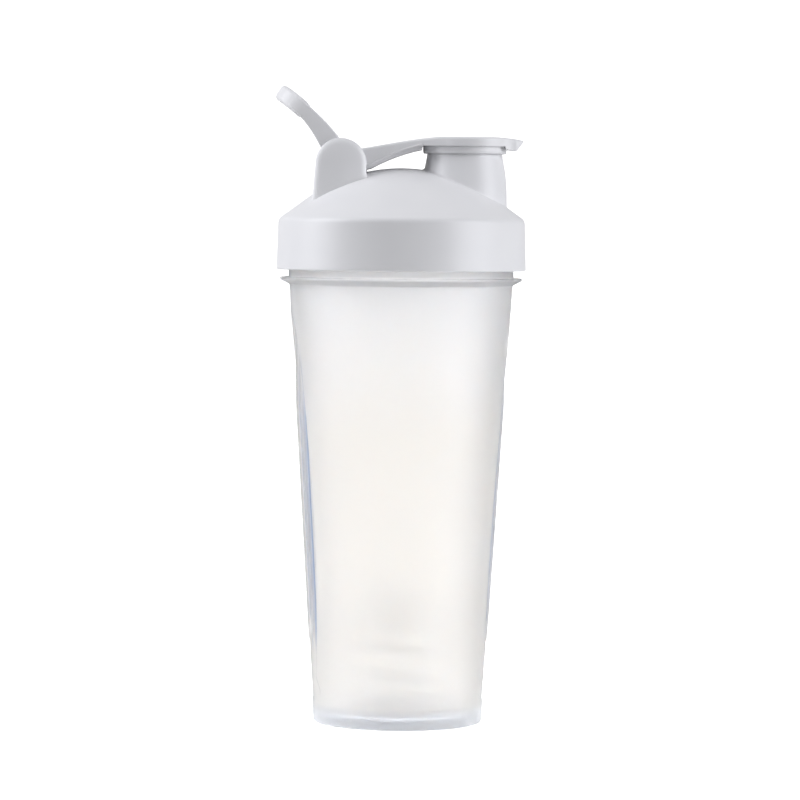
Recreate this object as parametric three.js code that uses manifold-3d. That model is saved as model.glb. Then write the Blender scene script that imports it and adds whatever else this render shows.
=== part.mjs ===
// A shaker bottle: a frosted tapered bottle, a screw lid with a side spout, a flip cap and a carry loop on
// one hinge pin, a lid gasket, a spout plug and a loose wire whisk ball inside.
// Units are millimetres. +Z is up, the spout points to +X, and the origin is the centre of the foot.
import * as THREE from "three";
import { mergeVertices } from "three/addons/utils/BufferGeometryUtils.js";
import Module from "manifold-3d";

const wasm = await Module();
wasm.setup();

// ---- Driving dimensions ----
// Bottle body
const footRadius = 31.7;
const shoulderRadius = 41.9;
const shoulderHeight = 163.3;
const bodyWall = 1.8;
const floorRaise = 1.5; // hollow under the floor, inside the foot ring
const floorThickness = 2.2;
const footRingWidth = 2.6;
const baseEdgeRadius = 2.4;
const flangeRadius = 45.4;
const flangeHeight = 3.8;
const flangeEdge = 0.6; // upright edge of the flange above its sloping underside
const flangeRoot = 0.4;
const neckRadius = 42.2;
const neckHeight = 17.9;

// Grip panels on the two sides of the body
const gripTurn = 6.3; // degrees about Z from the spout's direction to a panel's middle
const gripTop = 153;
const gripBottom = 7;
const gripHalfWidth = 13.9;
const gripDepth = 0.9;
const ribTop = 146;
const ribBottom = 31;
const ribPointLength = 9;
const ribEdges = [-14.9, -7.1, -4.9, 4.9, 7.1, 14.9]; // degrees about the axis: start and end of each rib

// Screw thread, single start and right-handed
const threadLead = 6;
const threadDepth = 1.7;
const threadRoot = 2.4; // height of the ridge at the wall
const threadCrest = 1.0;
const neckThreadTurns = 1.25;
const lidThreadTurns = 1;
const threadStartHeight = 7.7; // middle of the neck thread's low end above the flange
const threadClearance = 0.7; // between a crest and the wall that it faces

// Lid
const skirtGap = 2.8; // between the flange and the skirt
const skirtWall = 2.2;
const skirtDraft = 0.65; // how much smaller the skirt is at its shoulder
const shoulderBlend = 2.35; // height of the rounded shoulder
const shoulderInset = 0.95; // how far the shoulder comes in to the dome's edge
const domeRise = 18.55;
const domeSlope = 36.5; // degrees, of the cone that joins the dome's round top to its shoulder
const domeWall = 1.8;
const lidCorner = 2.25; // lid thickness over the gasket channel
const sealWall = 1.2; // inner ring that reaches down into the neck
const sealWallReach = 2.0; // below the rim
const sealWallGap = 0.6; // between that ring and the neck's inside

// Gasket
const gasketThickness = 1.7;
const seatGap = 0.3; // between pieces that rest on each other

// Spout
const spoutX = 23.45;
const spoutTopRadius = 13.85;
const spoutTaper = 0.105; // radius gained for each millimetre down, under the collar
const spoutRise = 7.5; // above the dome's top
const spoutFlareDrop = 19.5; // from the rim down to where the flare ends
const spoutBend = 8; // from the rim down to the middle of the flare's bend
const spoutBendInset = 0.35; // how much narrower than its base the spout is at that bend
const spoutBaseRadius = 15.95;
const spoutWall = 1.85;

// Hinge
const pivotX = -22.7;
const hingeClearance = 0.8; // between the barrel and the dome
const barrelRadius = 4.6;
const barrelHalfLength = 11.2;
const loopArmWidth = 3.6;
const sideGap = 0.3; // between neighbours along the pin
const earThickness = 2.8;
const earRadius = 9.45;
const earFlare = 0.08; // slope of the ear's outer flank
const pinRadius = 1.5;
const pinRunning = 0.15; // radial clearance where a piece turns on the pin
const earSkin = 0.8; // wall left outside the pin in the blind ear

// Flip cap
const plateGap = 0.8; // between the spout's rim and the plate
const plateThickness = 3.4;
const plateRadius = 17.2;
const collarDepth = 2.8;
const collarWall = 1.05;
const collarClearance = 0.45;
const collarStandoff = 0.5; // between the collar and the thick part of the arm
const armLiftStart = 11.1; // distance from the pivot at which the arm leaves the dome
const armDepth = 4.8; // arm height where it meets the plate
const armEndSlope = 0.2;
const tabLength = 6.35; // past the collar
const tabDepth = 3.5;
const tabHalfWidth = 7;
const tabDrop = 1.5; // how much lower the tab is than the plate
const tabRake = 2.5;
const plateFlat = 10.5; // how far past the spout's axis the plate stays level

// Spout plug
const plugClearance = 0.4;
const plugTaper = 0.7;
const plugReach = 5; // into the spout
const plugWall = 2;
const plugFloor = 1.6;

// Carry loop
const loopRootLean = 114.8; // degrees from +X at the pivot
const loopTipLean = 147;
const loopRootRun = 18.3;
const loopTipRun = 18;
const loopRootHalf = 3.9; // half thickness of an arm
const loopArmHalf = 2.6;
const loopThinning = 0.6; // share of the length over which an arm thins
const loopBarLength = 9; // width of the crossbar along the loop
const loopBarHalf = 3.1;
const loopBarTip = 1.1; // how far the crossbar runs past the arms
const loopBarEdge = 1.2; // chamfer of the crossbar's outer edge
const loopBarStep = 0.5; // how far the arms' sides stand out from the crossbar's
const loopCorner = 9;
const loopInnerCorner = 5.5;
const eyeRadius = 4.4;

// Whisk ball
const ballRadius = 23;
const wireRadius = 1;
const ballTurns = 6;
const ballPole = 12; // degrees left open at each pole

// Mesh fineness
const roundSteps = 48;
const smallSteps = 24;
const domeSteps = 7;

// ---- Sizes that follow ----
const radians = THREE.MathUtils.degToRad;
const bodyRadius = (z) => footRadius + ((shoulderRadius - footRadius) * z) / shoulderHeight;
const floorTop = floorRaise + floorThickness;
const flangeTop = shoulderHeight + flangeHeight;
const rimHeight = flangeTop + neckHeight;
const neckInner = neckRadius - bodyWall;

const skirtInner = neckRadius + threadDepth + threadClearance;
const skirtBottom = flangeTop + skirtGap;
const skirtOuter = skirtInner + skirtWall;
const skirtTopRadius = skirtOuter - skirtDraft;
const channelRoof = rimHeight + seatGap + gasketThickness + seatGap;
const domeEdgeRadius = skirtTopRadius - shoulderInset;
const domeEdgeHeight = channelRoof + lidCorner;
const slope = radians(domeSlope);
const domeRadius =
  (domeRise - domeEdgeRadius * Math.tan(slope)) / (1 - Math.cos(slope) - Math.sin(slope) * Math.tan(slope));
const domeTop = domeEdgeHeight + domeRise;
const domeCentre = domeTop - domeRadius;
const domeHeight = (x, gap) => domeCentre + Math.sqrt((domeRadius + gap) ** 2 - x ** 2);
const sealWallOuter = neckInner - sealWallGap;
const sealWallInner = sealWallOuter - sealWall;

const spoutTop = domeTop + spoutRise;
const spoutRadius = (z) => spoutTopRadius + spoutTaper * (spoutTop - z);

const pivotZ = domeHeight(pivotX, hingeClearance + barrelRadius);
const loopInnerY = barrelHalfLength + sideGap;
const loopOuterY = loopInnerY + loopArmWidth;
const earInnerY = loopOuterY + sideGap;
const earOuterY = earInnerY + earThickness;
const turningBore = pinRadius + pinRunning;

const plateUnder = spoutTop + plateGap;
const plateTop = plateUnder + plateThickness;
const collarBottom = plateUnder - collarDepth;
const collarInner = spoutRadius(collarBottom) + collarClearance;
const collarOuter = collarInner + collarWall;
const armEndX = spoutX - collarOuter - collarStandoff;
const tabStartX = spoutX + collarInner + collarWall / 5;
const tabEndX = spoutX + collarOuter + tabLength;

const plugBottom = spoutTop - plugReach;
const plugTopRadius = spoutTopRadius - spoutWall - plugClearance;
const plugInner = plugTopRadius - plugWall;

// ---- Helpers ----
function solid(geometry) {
  const bare = new THREE.BufferGeometry();
  bare.setAttribute("position", geometry.getAttribute("position"));
  if (geometry.index) bare.setIndex(geometry.index);
  const merged = mergeVertices(bare);
  const corners = merged.index.array;
  const kept = [];
  for (let i = 0; i < corners.length; i += 3) {
    const [a, b, c] = corners.slice(i, i + 3);
    if (a !== b && b !== c && c !== a) kept.push(a, b, c);
  }
  const vertProperties = merged.getAttribute("position").array;
  const mesh = new wasm.Mesh({ numProp: 3, vertProperties, triVerts: new Uint32Array(kept) });
  return new wasm.Manifold(mesh);
}

// A closed profile of [radius, height] points, counter-clockwise, turned about Z.
function turned(profile, steps = roundSteps) {
  const points = profile.map(([r, z]) => new THREE.Vector2(r, z));
  return solid(new THREE.LatheGeometry(points, steps).rotateX(Math.PI / 2));
}

// A shape in the XZ plane, given thickness along Y from yLow to yHigh.
function acrossY(shape, yLow, yHigh) {
  const options = { depth: yHigh - yLow, bevelEnabled: false, curveSegments: 8 };
  const geometry = new THREE.ExtrudeGeometry(shape, options);
  return solid(geometry.rotateX(Math.PI / 2).translate(0, yHigh, 0));
}

// A shape in the XY plane, given height from zLow to zHigh.
function upright(shape, zLow, zHigh) {
  const options = { depth: zHigh - zLow, bevelEnabled: false, curveSegments: 8 };
  const geometry = new THREE.ExtrudeGeometry(shape, options);
  return solid(geometry.translate(0, 0, zLow));
}

// A round bar along Y through the hinge line.
function pivotBar(radius, yLow, yHigh, steps = smallSteps) {
  const bar = new THREE.CylinderGeometry(radius, radius, yHigh - yLow, steps);
  return solid(bar.translate(pivotX, (yLow + yHigh) / 2, pivotZ));
}

// Points of an arc about [r0, z0] with half axes a and b, from one angle to another in degrees.
function arc(r0, z0, a, b, from, to, steps) {
  const points = [];
  for (let i = 0; i <= steps; i++) {
    const angle = radians(from + ((to - from) * i) / steps);
    points.push([r0 + a * Math.cos(angle), z0 + b * Math.sin(angle)]);
  }
  return points;
}

// The dome's profile, sunk by the given depth, from the radius rim in to the axis: a cone, then a round top.
function domeArc(depth, rim) {
  const radius = domeRadius - depth;
  const points = arc(0, domeCentre, radius, radius, 90 - domeSlope, 90, domeSteps);
  points[points.length - 1][0] = 0;
  const [coneTop, coneHeight] = points[0];
  return [[rim, coneHeight - (rim - coneTop) * Math.tan(slope)], ...points];
}

// A thread ridge on a wall of the given radius: a trapezoid carried along a helix, fading at both ends.
// outward is 1 on the neck and -1 inside the lid.
function threadRidge(wallRadius, outward, turns, startHeight) {
  const bury = 0.5; // how far the ridge starts inside the wall
  const section = new THREE.Shape([
    new THREE.Vector2(-threadRoot / 2, -bury * outward),
    new THREE.Vector2(threadRoot / 2, -bury * outward),
    new THREE.Vector2(threadCrest / 2, threadDepth * outward),
    new THREE.Vector2(-threadCrest / 2, threadDepth * outward),
  ]);
  const steps = Math.round(turns * 36);
  const geometry = new THREE.ExtrudeGeometry(section, { depth: 1, steps, bevelEnabled: false });
  const position = geometry.getAttribute("position");
  for (let i = 0; i < position.count; i++) {
    const along = position.getZ(i);
    const fade = Math.min(1, 0.15 + 12 * Math.min(along, 1 - along));
    const angle = 2 * Math.PI * turns * along;
    const reach = position.getY(i) * outward > 0 ? position.getY(i) * fade : position.getY(i);
    const radius = wallRadius + reach;
    const height = startHeight + threadLead * turns * along + position.getX(i);
    position.setXYZ(i, radius * Math.cos(angle), radius * Math.sin(angle), height);
  }
  return solid(geometry);
}

const threadLow = flangeTop + threadStartHeight;

function meshOf(name, manifold, look) {
  const { numProp, vertProperties, triVerts } = manifold.getMesh();
  const geometry = new THREE.BufferGeometry();
  geometry.setAttribute("position", new THREE.BufferAttribute(vertProperties, numProp));
  geometry.setIndex(new THREE.BufferAttribute(triVerts, 1));
  geometry.computeVertexNormals();
  const mesh = new THREE.Mesh(geometry, new THREE.MeshStandardMaterial(look));
  mesh.name = name;
  return mesh;
}

// ---- Bottle body ----
// A panel seen along its own middle direction: a long shield, widest below its middle.
function gripOutline() {
  const length = gripTop - gripBottom;
  const at = (width, share) => new THREE.Vector2(gripHalfWidth * width, gripBottom + length * share);
  const right = [at(0.42, 0.01), at(0.62, 0.08), at(0.9, 0.27), at(1, 0.49), at(0.96, 0.68), at(0.84, 0.82)];
  right.push(at(0.64, 0.91), at(0.36, 0.975));
  const left = right.map((p) => new THREE.Vector2(-p.x, p.y)).reverse();
  const outline = new THREE.SplineCurve([at(0, 0), ...right, at(0, 1), ...left, at(0, 0)]);
  return new THREE.Shape(outline.getPoints(36).slice(0, -1));
}

// A rib between two angles, pointed at its low end; its sides follow the taper of the body.
function ribOutline(from, to) {
  const place = (angle, z) => new THREE.Vector2(bodyRadius(z) * Math.sin(radians(angle)), z);
  const shoulder = ribBottom + ribPointLength;
  const middle = (from + to) / 2;
  return new THREE.Shape([
    place(middle, ribBottom),
    place(to, shoulder),
    place(to, ribTop),
    place(from, ribTop),
    place(from, shoulder),
  ]);
}

// A shape in the YZ plane, carried outwards along +X.
function alongX(shape) {
  const reach = 2 * shoulderRadius;
  const geometry = new THREE.ExtrudeGeometry(shape, { depth: reach, bevelEnabled: false });
  const turn = new THREE.Matrix4().makeBasis(
    new THREE.Vector3(0, 1, 0),
    new THREE.Vector3(0, 0, 1),
    new THREE.Vector3(1, 0, 0),
  );
  return solid(geometry.applyMatrix4(turn));
}

function bottleBody() {
  const shell = turned([
    [0, floorRaise],
    [footRadius - baseEdgeRadius - footRingWidth - floorRaise, floorRaise],
    [footRadius - baseEdgeRadius - footRingWidth, 0],
    ...arc(footRadius - baseEdgeRadius, baseEdgeRadius, baseEdgeRadius, baseEdgeRadius, -90, 0, 3),
    [shoulderRadius, shoulderHeight],
    [shoulderRadius + flangeRoot, shoulderHeight + flangeRoot],
    [flangeRadius, flangeTop - flangeEdge],
    [flangeRadius, flangeTop],
    [neckRadius, flangeTop],
    [neckRadius, rimHeight],
    [neckInner, rimHeight],
    [neckInner, flangeTop],
    [shoulderRadius - bodyWall, shoulderHeight],
    [bodyRadius(floorTop + baseEdgeRadius) - bodyWall, floorTop + baseEdgeRadius],
    [bodyRadius(floorTop) - bodyWall - baseEdgeRadius, floorTop],
    [0, floorTop],
  ]);
  // The panel cutter is the space outside a cone that lies gripDepth below the surface.
  const outside = 5;
  const skin = turned([
    [bodyRadius(0) - gripDepth, 0],
    [bodyRadius(0) + outside, 0],
    [shoulderRadius + outside, shoulderHeight],
    [shoulderRadius - gripDepth, shoulderHeight],
    [bodyRadius(0) - gripDepth, 0],
  ]);
  let panel = alongX(gripOutline()).intersect(skin);
  for (let i = 0; i < ribEdges.length; i += 2) {
    panel = panel.subtract(alongX(ribOutline(ribEdges[i], ribEdges[i + 1])));
  }
  return shell
    .subtract(panel)
    .subtract(panel.rotate([0, 0, 180]))
    .add(threadRidge(neckRadius, 1, neckThreadTurns, threadLow))
    .rotate([0, 0, gripTurn]);
}

// ---- Lid ----
function lid() {
  const blend = new THREE.QuadraticBezierCurve(
    new THREE.Vector2(skirtTopRadius, domeEdgeHeight - shoulderBlend),
    new THREE.Vector2(skirtTopRadius, domeEdgeHeight - shoulderInset),
    new THREE.Vector2(domeEdgeRadius, domeEdgeHeight),
  );
  const outer = turned([
    [0, skirtBottom],
    [skirtOuter, skirtBottom],
    ...blend.getPoints(4).slice(0, -1).map((p) => [p.x, p.y]),
    ...domeArc(0, domeEdgeRadius),
  ]);
  const inside = turned([
    [0, skirtBottom - 1],
    [skirtInner, skirtBottom - 1],
    [skirtInner, channelRoof],
    [sealWallOuter, channelRoof],
    [sealWallOuter, rimHeight - sealWallReach],
    [sealWallInner, rimHeight - sealWallReach],
    ...domeArc(domeWall, sealWallInner),
  ]);
  const spout = spoutSolid(0, domeEdgeHeight, spoutTop);
  const bore = spoutSolid(spoutWall, channelRoof, spoutTop + 1);
  const holes = pivotBar(pinRadius + seatGap, -earOuterY + earSkin, earOuterY + 1);
  const ridge = threadRidge(skirtInner, -1, lidThreadTurns, threadLow - threadLead / 2);
  return outer
    .add(spout)
    .add(ear(-earOuterY, -earInnerY))
    .add(ear(earInnerY, earOuterY))
    .subtract(inside)
    .subtract(bore)
    .subtract(holes)
    .add(ridge.rotate([0, 0, gripTurn]));
}

// The spout's outside, or its bore when the profile is set in by the wall: a slightly tapered rim over a
// flare that turns upright before it meets the dome.
function spoutSolid(inset, low, high) {
  const flare = new THREE.QuadraticBezierCurve(
    new THREE.Vector2(spoutBaseRadius - inset, spoutTop - spoutFlareDrop),
    new THREE.Vector2(spoutBaseRadius - spoutBendInset - inset, spoutTop - spoutBend),
    new THREE.Vector2(spoutRadius(collarBottom) - inset, collarBottom),
  );
  const profile = [
    [0, low],
    [spoutBaseRadius - inset, low],
    ...flare.getPoints(4).map((p) => [p.x, p.y]),
    [spoutTopRadius - inset, spoutTop],
    [spoutTopRadius - inset, high],
    [0, high],
  ];
  return turned(profile).translate([spoutX, 0, 0]);
}

// A tombstone-shaped ear that stands on the dome.
function ear(yLow, yHigh) {
  const drop = pivotZ - domeEdgeHeight;
  const shape = new THREE.Shape();
  shape.moveTo(pivotX - earRadius - earFlare * drop, domeEdgeHeight);
  shape.lineTo(pivotX + earRadius, domeEdgeHeight);
  shape.lineTo(pivotX + earRadius, pivotZ);
  shape.absarc(pivotX, pivotZ, earRadius, 0, Math.PI, false);
  return acrossY(shape, yLow, yHigh);
}

// A flat ring under the lid that the bottle's rim presses on.
function gasket() {
  const inner = sealWallOuter + seatGap;
  const outer = skirtInner - seatGap;
  const low = rimHeight + seatGap;
  const high = low + gasketThickness;
  return turned([[inner, low], [outer, low], [outer, high], [inner, high], [inner, low]]);
}

// ---- Flip cap ----
// Side view: the arm follows the dome from the barrel, then rises to the plate, and ends in the thumb tab.
function capSide() {
  const shape = new THREE.Shape();
  const touch = domeRadius + hingeClearance;
  const startX = (pivotX * touch) / (touch + barrelRadius);
  const liftX = pivotX + armLiftStart;
  const follow = 5;
  shape.moveTo(pivotX, pivotZ);
  for (let i = 0; i <= follow; i++) {
    const x = startX + ((liftX - startX) * i) / follow;
    shape.lineTo(x, domeHeight(x, hingeClearance));
  }
  const bendX = (liftX + armEndX) / 2;
  const armLow = plateTop - armDepth;
  shape.quadraticCurveTo(bendX, armLow - armEndSlope * (armEndX - bendX), armEndX, armLow);
  shape.lineTo(armEndX, plateUnder);
  shape.lineTo(tabStartX, plateUnder);
  shape.lineTo(tabStartX, plateTop - tabDrop - tabDepth);
  shape.lineTo(tabEndX - tabRake, plateTop - tabDrop - tabDepth);
  shape.lineTo(tabEndX, plateTop - tabDrop);
  shape.quadraticCurveTo((tabEndX + spoutX + plateFlat) / 2, plateTop, spoutX + plateFlat, plateTop);
  shape.lineTo(spoutX - plateRadius / 2, plateTop);
  const barrelTop = pivotZ + barrelRadius;
  const rise = plateTop - barrelTop;
  const run = spoutX - plateRadius / 2 - pivotX;
  shape.bezierCurveTo(
    pivotX + run * 0.67, plateTop - rise * 0.12,
    pivotX + run * 0.33, barrelTop + rise * 0.28,
    pivotX, barrelTop,
  );
  return shape;
}

// Plan view: the arm widens from the barrel to a round plate and narrows again to the tab.
function capPlan() {
  const back = pivotX - barrelRadius - 1;
  const neck = pivotX + armLiftStart;
  const broad = radians(115); // where the arm's edge meets the plate's circle
  const narrow = radians(38); // where the circle gives way to the tab
  const onPlate = (angle) => [spoutX + plateRadius * Math.cos(angle), plateRadius * Math.sin(angle)];
  const [broadX, broadY] = onPlate(broad);
  const tabX = tabEndX - tabHalfWidth / 2;
  const shape = new THREE.Shape();
  shape.moveTo(back, -barrelHalfLength);
  shape.lineTo(neck, -barrelHalfLength);
  shape.quadraticCurveTo((neck + broadX) / 2, -barrelHalfLength, broadX, -broadY);
  shape.absarc(spoutX, 0, plateRadius, -broad, -narrow, false);
  shape.lineTo(tabX, -tabHalfWidth);
  shape.quadraticCurveTo(tabEndX + 1, -tabHalfWidth, tabEndX + 1, 0);
  shape.quadraticCurveTo(tabEndX + 1, tabHalfWidth, tabX, tabHalfWidth);
  shape.lineTo(...onPlate(narrow));
  shape.absarc(spoutX, 0, plateRadius, narrow, broad, false);
  shape.quadraticCurveTo((neck + broadX) / 2, barrelHalfLength, neck, barrelHalfLength);
  shape.lineTo(back, barrelHalfLength);
  return shape;
}

function flipCap() {
  const blank = acrossY(capSide(), -plateRadius - 1, plateRadius + 1);
  const outline = upright(capPlan(), domeEdgeHeight, plateTop + 1);
  const into = plateUnder + 0.5; // the collar and the boss start inside the plate
  const collar = turned([
    [collarInner, collarBottom],
    [collarOuter, collarBottom],
    [collarOuter, into],
    [collarInner, into],
    [collarInner, collarBottom],
  ]).translate([spoutX, 0, 0]);
  const bossRadius = plugInner - seatGap;
  const bossLow = plugBottom + plugFloor + seatGap;
  const boss = turned([[0, bossLow], [bossRadius, bossLow], [bossRadius, into], [0, into]], smallSteps);
  return blank
    .intersect(outline)
    .add(collar)
    .add(boss.translate([spoutX, 0, 0]))
    .add(pivotBar(barrelRadius, -barrelHalfLength, barrelHalfLength))
    .subtract(pivotBar(turningBore, -barrelHalfLength - 1, barrelHalfLength + 1));
}

// A soft cup pressed over the cap's boss; it narrows downwards so that it swings out of the spout.
function spoutPlug() {
  const top = plateUnder - seatGap;
  const outside = [[plugTopRadius - plugTaper, plugBottom], [plugTopRadius, spoutTop], [plugTopRadius, top]];
  const inside = [[plugInner, top], [plugInner, plugBottom + plugFloor], [0, plugBottom + plugFloor]];
  return turned([[0, plugBottom], ...outside, ...inside], smallSteps).translate([spoutX, 0, 0]);
}

// ---- Carry loop ----
const leanDirection = (degrees) => new THREE.Vector2(Math.cos(radians(degrees)), Math.sin(radians(degrees)));

function loopLine() {
  const root = new THREE.Vector2(pivotX, pivotZ);
  const bend = root.clone().addScaledVector(leanDirection(loopRootLean), loopRootRun);
  const tip = bend.clone().addScaledVector(leanDirection(loopTipLean), loopTipRun);
  return new THREE.QuadraticBezierCurve(root, bend, tip);
}

// Side view of one stretch of the loop, between two shares of its length: a curved band whose half thickness
// is halfAt(share). Its far end runs on past the line by the given tip, with chamfered edges.
function bandSide(from, to, halfAt, tip, edge) {
  const line = loopLine();
  const steps = Math.ceil(10 * (to - from)) + 1;
  const inner = [];
  const outer = [];
  for (let i = 0; i <= steps; i++) {
    const share = from + ((to - from) * i) / steps;
    const middle = line.getPointAt(share);
    const along = line.getTangentAt(share);
    const half = halfAt(share);
    inner.push(new THREE.Vector2(middle.x + along.y * half, middle.y - along.x * half));
    outer.push(new THREE.Vector2(middle.x - along.y * half, middle.y + along.x * half));
  }
  const end = line.getPointAt(to);
  const along = line.getTangentAt(to);
  const last = halfAt(to) - edge;
  const corner = (side) => new THREE.Vector2(
    end.x + along.x * tip + side * along.y * last,
    end.y + along.y * tip - side * along.x * last,
  );
  const corners = tip > 0 ? [corner(1), corner(-1)] : [];
  return new THREE.Shape([...inner, ...corners, ...outer.reverse()]);
}

// Plan of the loop, square to its mean lean: two arms joined by a rounded crossbar.
function loopPlan(reach, halfWidth) {
  const low = -eyeRadius - 1;
  const bar = loopSpan().length() - loopBarLength;
  const inner = loopInnerCorner;
  const shape = new THREE.Shape();
  shape.moveTo(-halfWidth, low);
  shape.lineTo(-loopInnerY, low);
  shape.lineTo(-loopInnerY, bar - inner);
  shape.absarc(-loopInnerY + inner, bar - inner, inner, Math.PI, Math.PI / 2, true);
  shape.absarc(loopInnerY - inner, bar - inner, inner, Math.PI / 2, 0, true);
  shape.lineTo(loopInnerY, low);
  shape.lineTo(halfWidth, low);
  shape.absarc(halfWidth - loopCorner, reach - loopCorner, loopCorner, 0, Math.PI / 2, false);
  shape.absarc(-halfWidth + loopCorner, reach - loopCorner, loopCorner, Math.PI / 2, Math.PI, false);
  return shape;
}

function loopSpan() {
  const line = loopLine();
  return line.v2.clone().sub(line.v0);
}

// The plan carried both ways across the band. Its own X runs along Y, and its own Y along the loop.
function planCutter(reach, halfWidth) {
  const span = loopSpan();
  const depth = 40;
  const outline = loopPlan(reach, halfWidth);
  const cutter = new THREE.ExtrudeGeometry(outline, { depth, bevelEnabled: false, curveSegments: 6 });
  const along = new THREE.Vector3(span.x, 0, span.y).normalize();
  const width = new THREE.Vector3(0, 1, 0);
  const across = new THREE.Vector3().crossVectors(width, along);
  const frame = new THREE.Matrix4().makeBasis(width, along, across);
  frame.setPosition(pivotX - (across.x * depth) / 2, 0, pivotZ - (across.z * depth) / 2);
  return solid(cutter.applyMatrix4(frame));
}

function carryLoop() {
  const span = loopSpan().length();
  const { lerp } = THREE.MathUtils;
  const armHalf = (share) => lerp(loopRootHalf, loopArmHalf, Math.min(1, share / loopThinning));
  const arms = acrossY(bandSide(0, 1, armHalf, 0, 0), -loopOuterY, loopOuterY)
    .add(pivotBar(eyeRadius, -loopOuterY, loopOuterY))
    .intersect(planCutter(span, loopOuterY));
  const barStart = 1 - loopBarLength / loopLine().getLength();
  const barSide = bandSide(barStart, 1, () => loopBarHalf, loopBarTip, loopBarEdge);
  const barHalfWidth = loopOuterY - loopBarStep;
  const barPlan = planCutter(span + loopBarTip, barHalfWidth);
  const bar = acrossY(barSide, -barHalfWidth, barHalfWidth).intersect(barPlan);
  return arms.add(bar).subtract(pivotBar(turningBore, -loopOuterY - 1, loopOuterY + 1));
}

// ---- Hinge pin ----
function hingePin() {
  return pivotBar(pinRadius, -earOuterY + earSkin + seatGap, earOuterY - seatGap);
}

// ---- Whisk ball ----
// One wire wound from pole to pole over a sphere.
class BallWire extends THREE.Curve {
  getPoint(t, target = new THREE.Vector3()) {
    const fromPole = radians(ballPole + (180 - 2 * ballPole) * t);
    const turn = 2 * Math.PI * ballTurns * t;
    const radius = (ballRadius - wireRadius) * Math.sin(fromPole);
    const height = (ballRadius - wireRadius) * Math.cos(fromPole);
    return target.set(radius * Math.cos(turn), radius * Math.sin(turn), height);
  }
}

function whiskBall() {
  const sides = 6;
  const section = new THREE.Shape();
  for (let i = 0; i < sides; i++) {
    const angle = (2 * Math.PI * i) / sides;
    const corner = [wireRadius * Math.cos(angle), wireRadius * Math.sin(angle)];
    if (i === 0) section.moveTo(...corner);
    else section.lineTo(...corner);
  }
  const wire = new THREE.ExtrudeGeometry(section, { steps: 30 * ballTurns, extrudePath: new BallWire() });
  const centreHeight = wireRadius + (ballRadius - wireRadius) * Math.cos(radians(ballPole));
  return solid(wire.translate(0, 0, floorTop + seatGap + centreHeight));
}

// ---- Assembly ----
const frosted = { color: 0xeeecea, roughness: 0.55, metalness: 0, transparent: true, opacity: 0.7 };
const whitePlastic = { color: 0xf1f1f3, roughness: 0.4, metalness: 0 };
const softSeal = { color: 0xe6e6e8, roughness: 0.75, metalness: 0 };
const steel = { color: 0xc4c6c8, roughness: 0.25, metalness: 1 };

const shaker = new THREE.Group();
shaker.add(
  meshOf("bottle_body", bottleBody(), frosted),
  meshOf("lid", lid(), whitePlastic),
  meshOf("lid_gasket", gasket(), softSeal),
  meshOf("flip_cap", flipCap(), whitePlastic),
  meshOf("spout_plug", spoutPlug(), softSeal),
  meshOf("carry_loop", carryLoop(), whitePlastic),
  meshOf("hinge_pin", hingePin(), steel),
  meshOf("whisk_ball", whiskBall(), steel),
);

export default shaker;
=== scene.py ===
# %% [markdown]
# # A shaker bottle, finished in cells
# The bottle was made first as plain engineering solids with joints. This lesson loads those solids as a fixed
# frame and builds a finer skin for each one: rounder edges, the frosted wall, the moulded grain, the steel wire.
# Every skin rides on the body that it belongs to.

# %% Load the frame
import math
import bmesh
import bpy
import numpy as np
from mathutils import Matrix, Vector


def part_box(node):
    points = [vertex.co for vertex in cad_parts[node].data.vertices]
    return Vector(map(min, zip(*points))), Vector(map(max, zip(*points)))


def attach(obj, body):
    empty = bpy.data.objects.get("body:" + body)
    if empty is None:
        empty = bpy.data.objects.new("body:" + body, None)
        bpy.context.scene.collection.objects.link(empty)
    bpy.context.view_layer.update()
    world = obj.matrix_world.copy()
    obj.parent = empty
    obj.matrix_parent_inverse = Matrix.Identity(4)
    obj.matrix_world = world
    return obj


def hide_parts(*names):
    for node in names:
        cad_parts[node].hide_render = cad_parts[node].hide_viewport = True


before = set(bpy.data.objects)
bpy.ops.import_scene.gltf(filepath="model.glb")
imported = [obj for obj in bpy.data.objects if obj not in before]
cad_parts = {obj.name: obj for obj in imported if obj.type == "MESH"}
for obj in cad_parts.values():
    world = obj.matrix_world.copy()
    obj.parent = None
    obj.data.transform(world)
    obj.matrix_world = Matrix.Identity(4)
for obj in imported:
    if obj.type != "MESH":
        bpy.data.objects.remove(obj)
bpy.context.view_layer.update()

# %% [markdown]
# ## Sizes
# Blender works in metres and a moulding is thought of in millimetres, so shapes are worked out in millimetres
# and turned to metres once, when their mesh is made. Heights and radii are taken from the boxes of the solids
# wherever a box gives them; the rest are the wall and edge sizes of the mouldings.

# %% Sizes from the frame
MM = 0.001


def corners(node):
    """The lowest and highest corner of a solid, in millimetres."""
    low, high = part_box(node)
    return np.array(low) / MM, np.array(high) / MM


body_high = corners("bottle_body")[1]
lid_low = corners("lid")[0]
cap_high = corners("flip_cap")[1]
pin_low, pin_high = corners("hinge_pin")
plug_low, plug_high = corners("spout_plug")
seal_low, seal_high = corners("lid_gasket")
ball_low = corners("whisk_ball")[0]

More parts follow.
